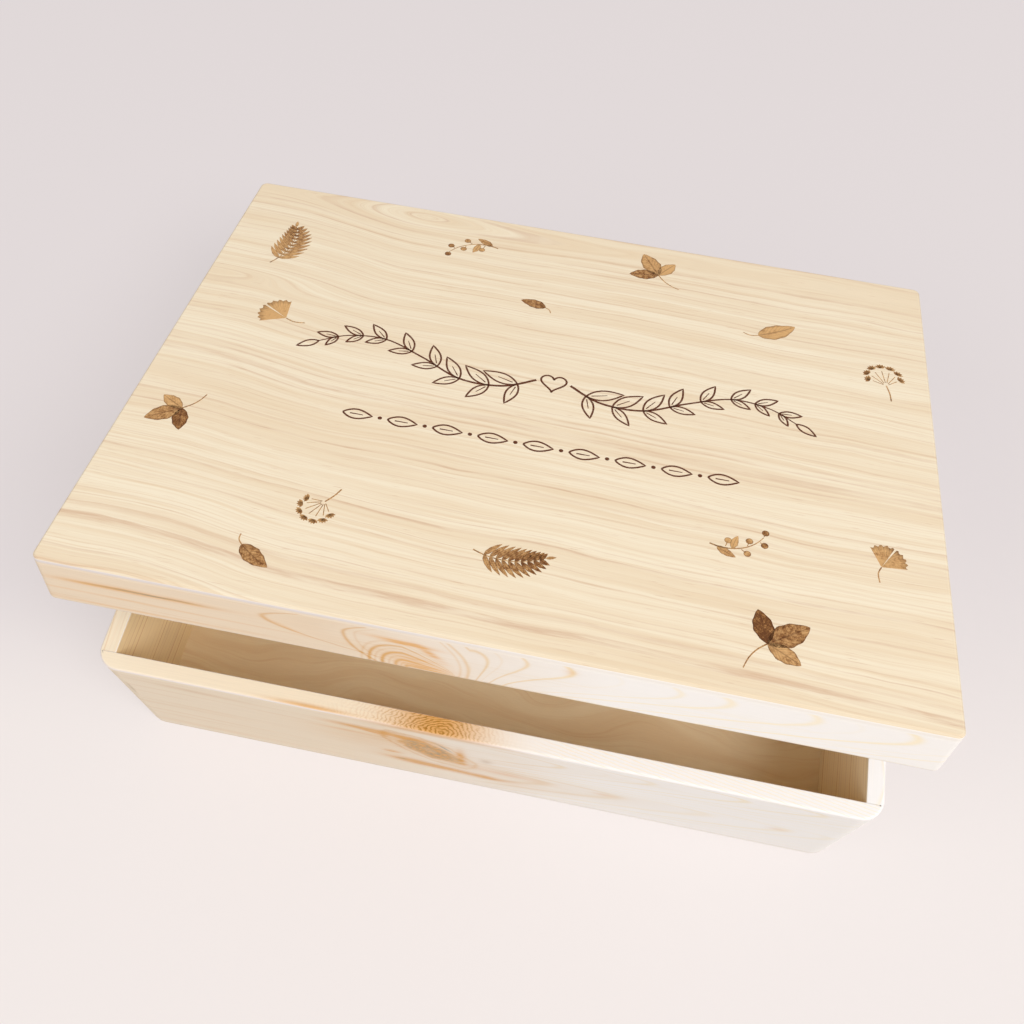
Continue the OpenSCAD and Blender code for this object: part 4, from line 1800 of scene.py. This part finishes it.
def make_lights():
    """A plain white sky, a strong lamp high at the right and two weak ones lower at the sides."""
    world = bpy.data.worlds.new("Soft sky")
    bpy.context.scene.world = world
    world.use_nodes = True
    tree = world.node_tree
    background = next(n for n in tree.nodes if n.type == "BACKGROUND")
    background.inputs["Color"].default_value = (1.0, 1.0, 1.0, 1.0)
    background.inputs["Strength"].default_value = SKY_STRENGTH
    shade = {"Color": colours().floor_far, "Strength": 1.0}
    seen_colour = add_node(tree, "ShaderNodeBackground", shade)
    path = tree.nodes.new("ShaderNodeLightPath")
    seen = Field(tree, path.outputs["Is Camera Ray"])
    for ray in ("Is Glossy Ray", "Is Transmission Ray"):
        seen = calc("MAXIMUM", seen, Field(tree, path.outputs[ray]))
    blend = add_node(tree, "ShaderNodeMixShader", {0: seen})
    tree.links.new(background.outputs[0], blend.inputs[1])
    tree.links.new(seen_colour.outputs[0], blend.inputs[2])
    output = next(n for n in tree.nodes if n.type == "OUTPUT_WORLD")
    tree.links.new(blend.outputs[0], output.inputs["Surface"])

    make_lamp("Key lamp", KEY_PLACE, KEY_SIZE, KEY_POWER)
    make_lamp("Fill lamp", FILL_PLACE, FILL_SIZE, FILL_POWER)
    make_lamp("Side lamp", SIDE_PLACE, SIDE_SIZE, SIDE_POWER)


CAMERA_PLACE = Vector((33.1, -282.1, 611.8)) * MM
CAMERA_TURN = math.radians(9.0)  # to the left of straight ahead
CAMERA_PITCH = math.radians(27.12)  # up from straight down
CAMERA_ROLL = math.radians(2.456)
CAMERA_LENS = 37.094


def make_camera():
    """Stands where the photo was taken from, looking down on the open side of the box."""
    data = bpy.data.cameras.new("Camera")
    data.lens = CAMERA_LENS
    data.sensor_width = 36.0
    data.clip_start = 0.01
    data.clip_end = 50.0
    camera = add_object("Camera", data)
    turn = Matrix.Rotation(CAMERA_TURN, 4, "Z") @ Matrix.Rotation(CAMERA_PITCH, 4, "X")
    roll = Matrix.Rotation(CAMERA_ROLL, 4, "Z")
    camera.matrix_world = Matrix.Translation(CAMERA_PLACE) @ turn @ roll
    bpy.context.scene.camera = camera


# ------------------------------------------------------------------ panel and registration

OPERATORS = (
    KEEPSAKE_OT_finishes,
    KEEPSAKE_OT_case_boards,
    KEEPSAKE_OT_case_bottom,
    KEEPSAKE_OT_lid_rails,
    KEEPSAKE_OT_lid_top,
    KEEPSAKE_OT_print,
    KEEPSAKE_OT_fittings,
    KEEPSAKE_OT_stage,
)


class KEEPSAKE_PT_panel(bpy.types.Panel):
    """Lists the operators and the settings of the keepsake box"""

    bl_label = "Keepsake box"
    bl_idname = "KEEPSAKE_PT_panel"
    bl_space_type = "VIEW_3D"
    bl_region_type = "UI"
    bl_category = "Keepsake box"

    def draw(self, context):
        for operator in OPERATORS:
            self.layout.operator(operator.bl_idname)
        for settings in (context.scene.keepsake_sizes, context.scene.keepsake_colours):
            for name in settings.__annotations__:
                self.layout.prop(settings, name)


CLASSES = (KeepsakeSizes, KeepsakeColours, *OPERATORS, KEEPSAKE_PT_panel)


def register():
    for cls in CLASSES:
        bpy.utils.register_class(cls)
    bpy.types.Scene.keepsake_sizes = PointerProperty(type=KeepsakeSizes)
    bpy.types.Scene.keepsake_colours = PointerProperty(type=KeepsakeColours)


def unregister():
    del bpy.types.Scene.keepsake_colours
    del bpy.types.Scene.keepsake_sizes
    for cls in reversed(CLASSES):
        bpy.utils.unregister_class(cls)


def run_operator(operator):
    """Calls an operator by its name, as a button of the panel does."""
    area, name = operator.bl_idname.split(".")
    getattr(getattr(bpy.ops, area), name)()


def main():
    register()
    bpy.context.scene.view_settings.view_transform = "Standard"
    for operator in OPERATORS:
        run_operator(operator)
    bpy.context.view_layer.update()


if __name__ == "__main__":
    main()
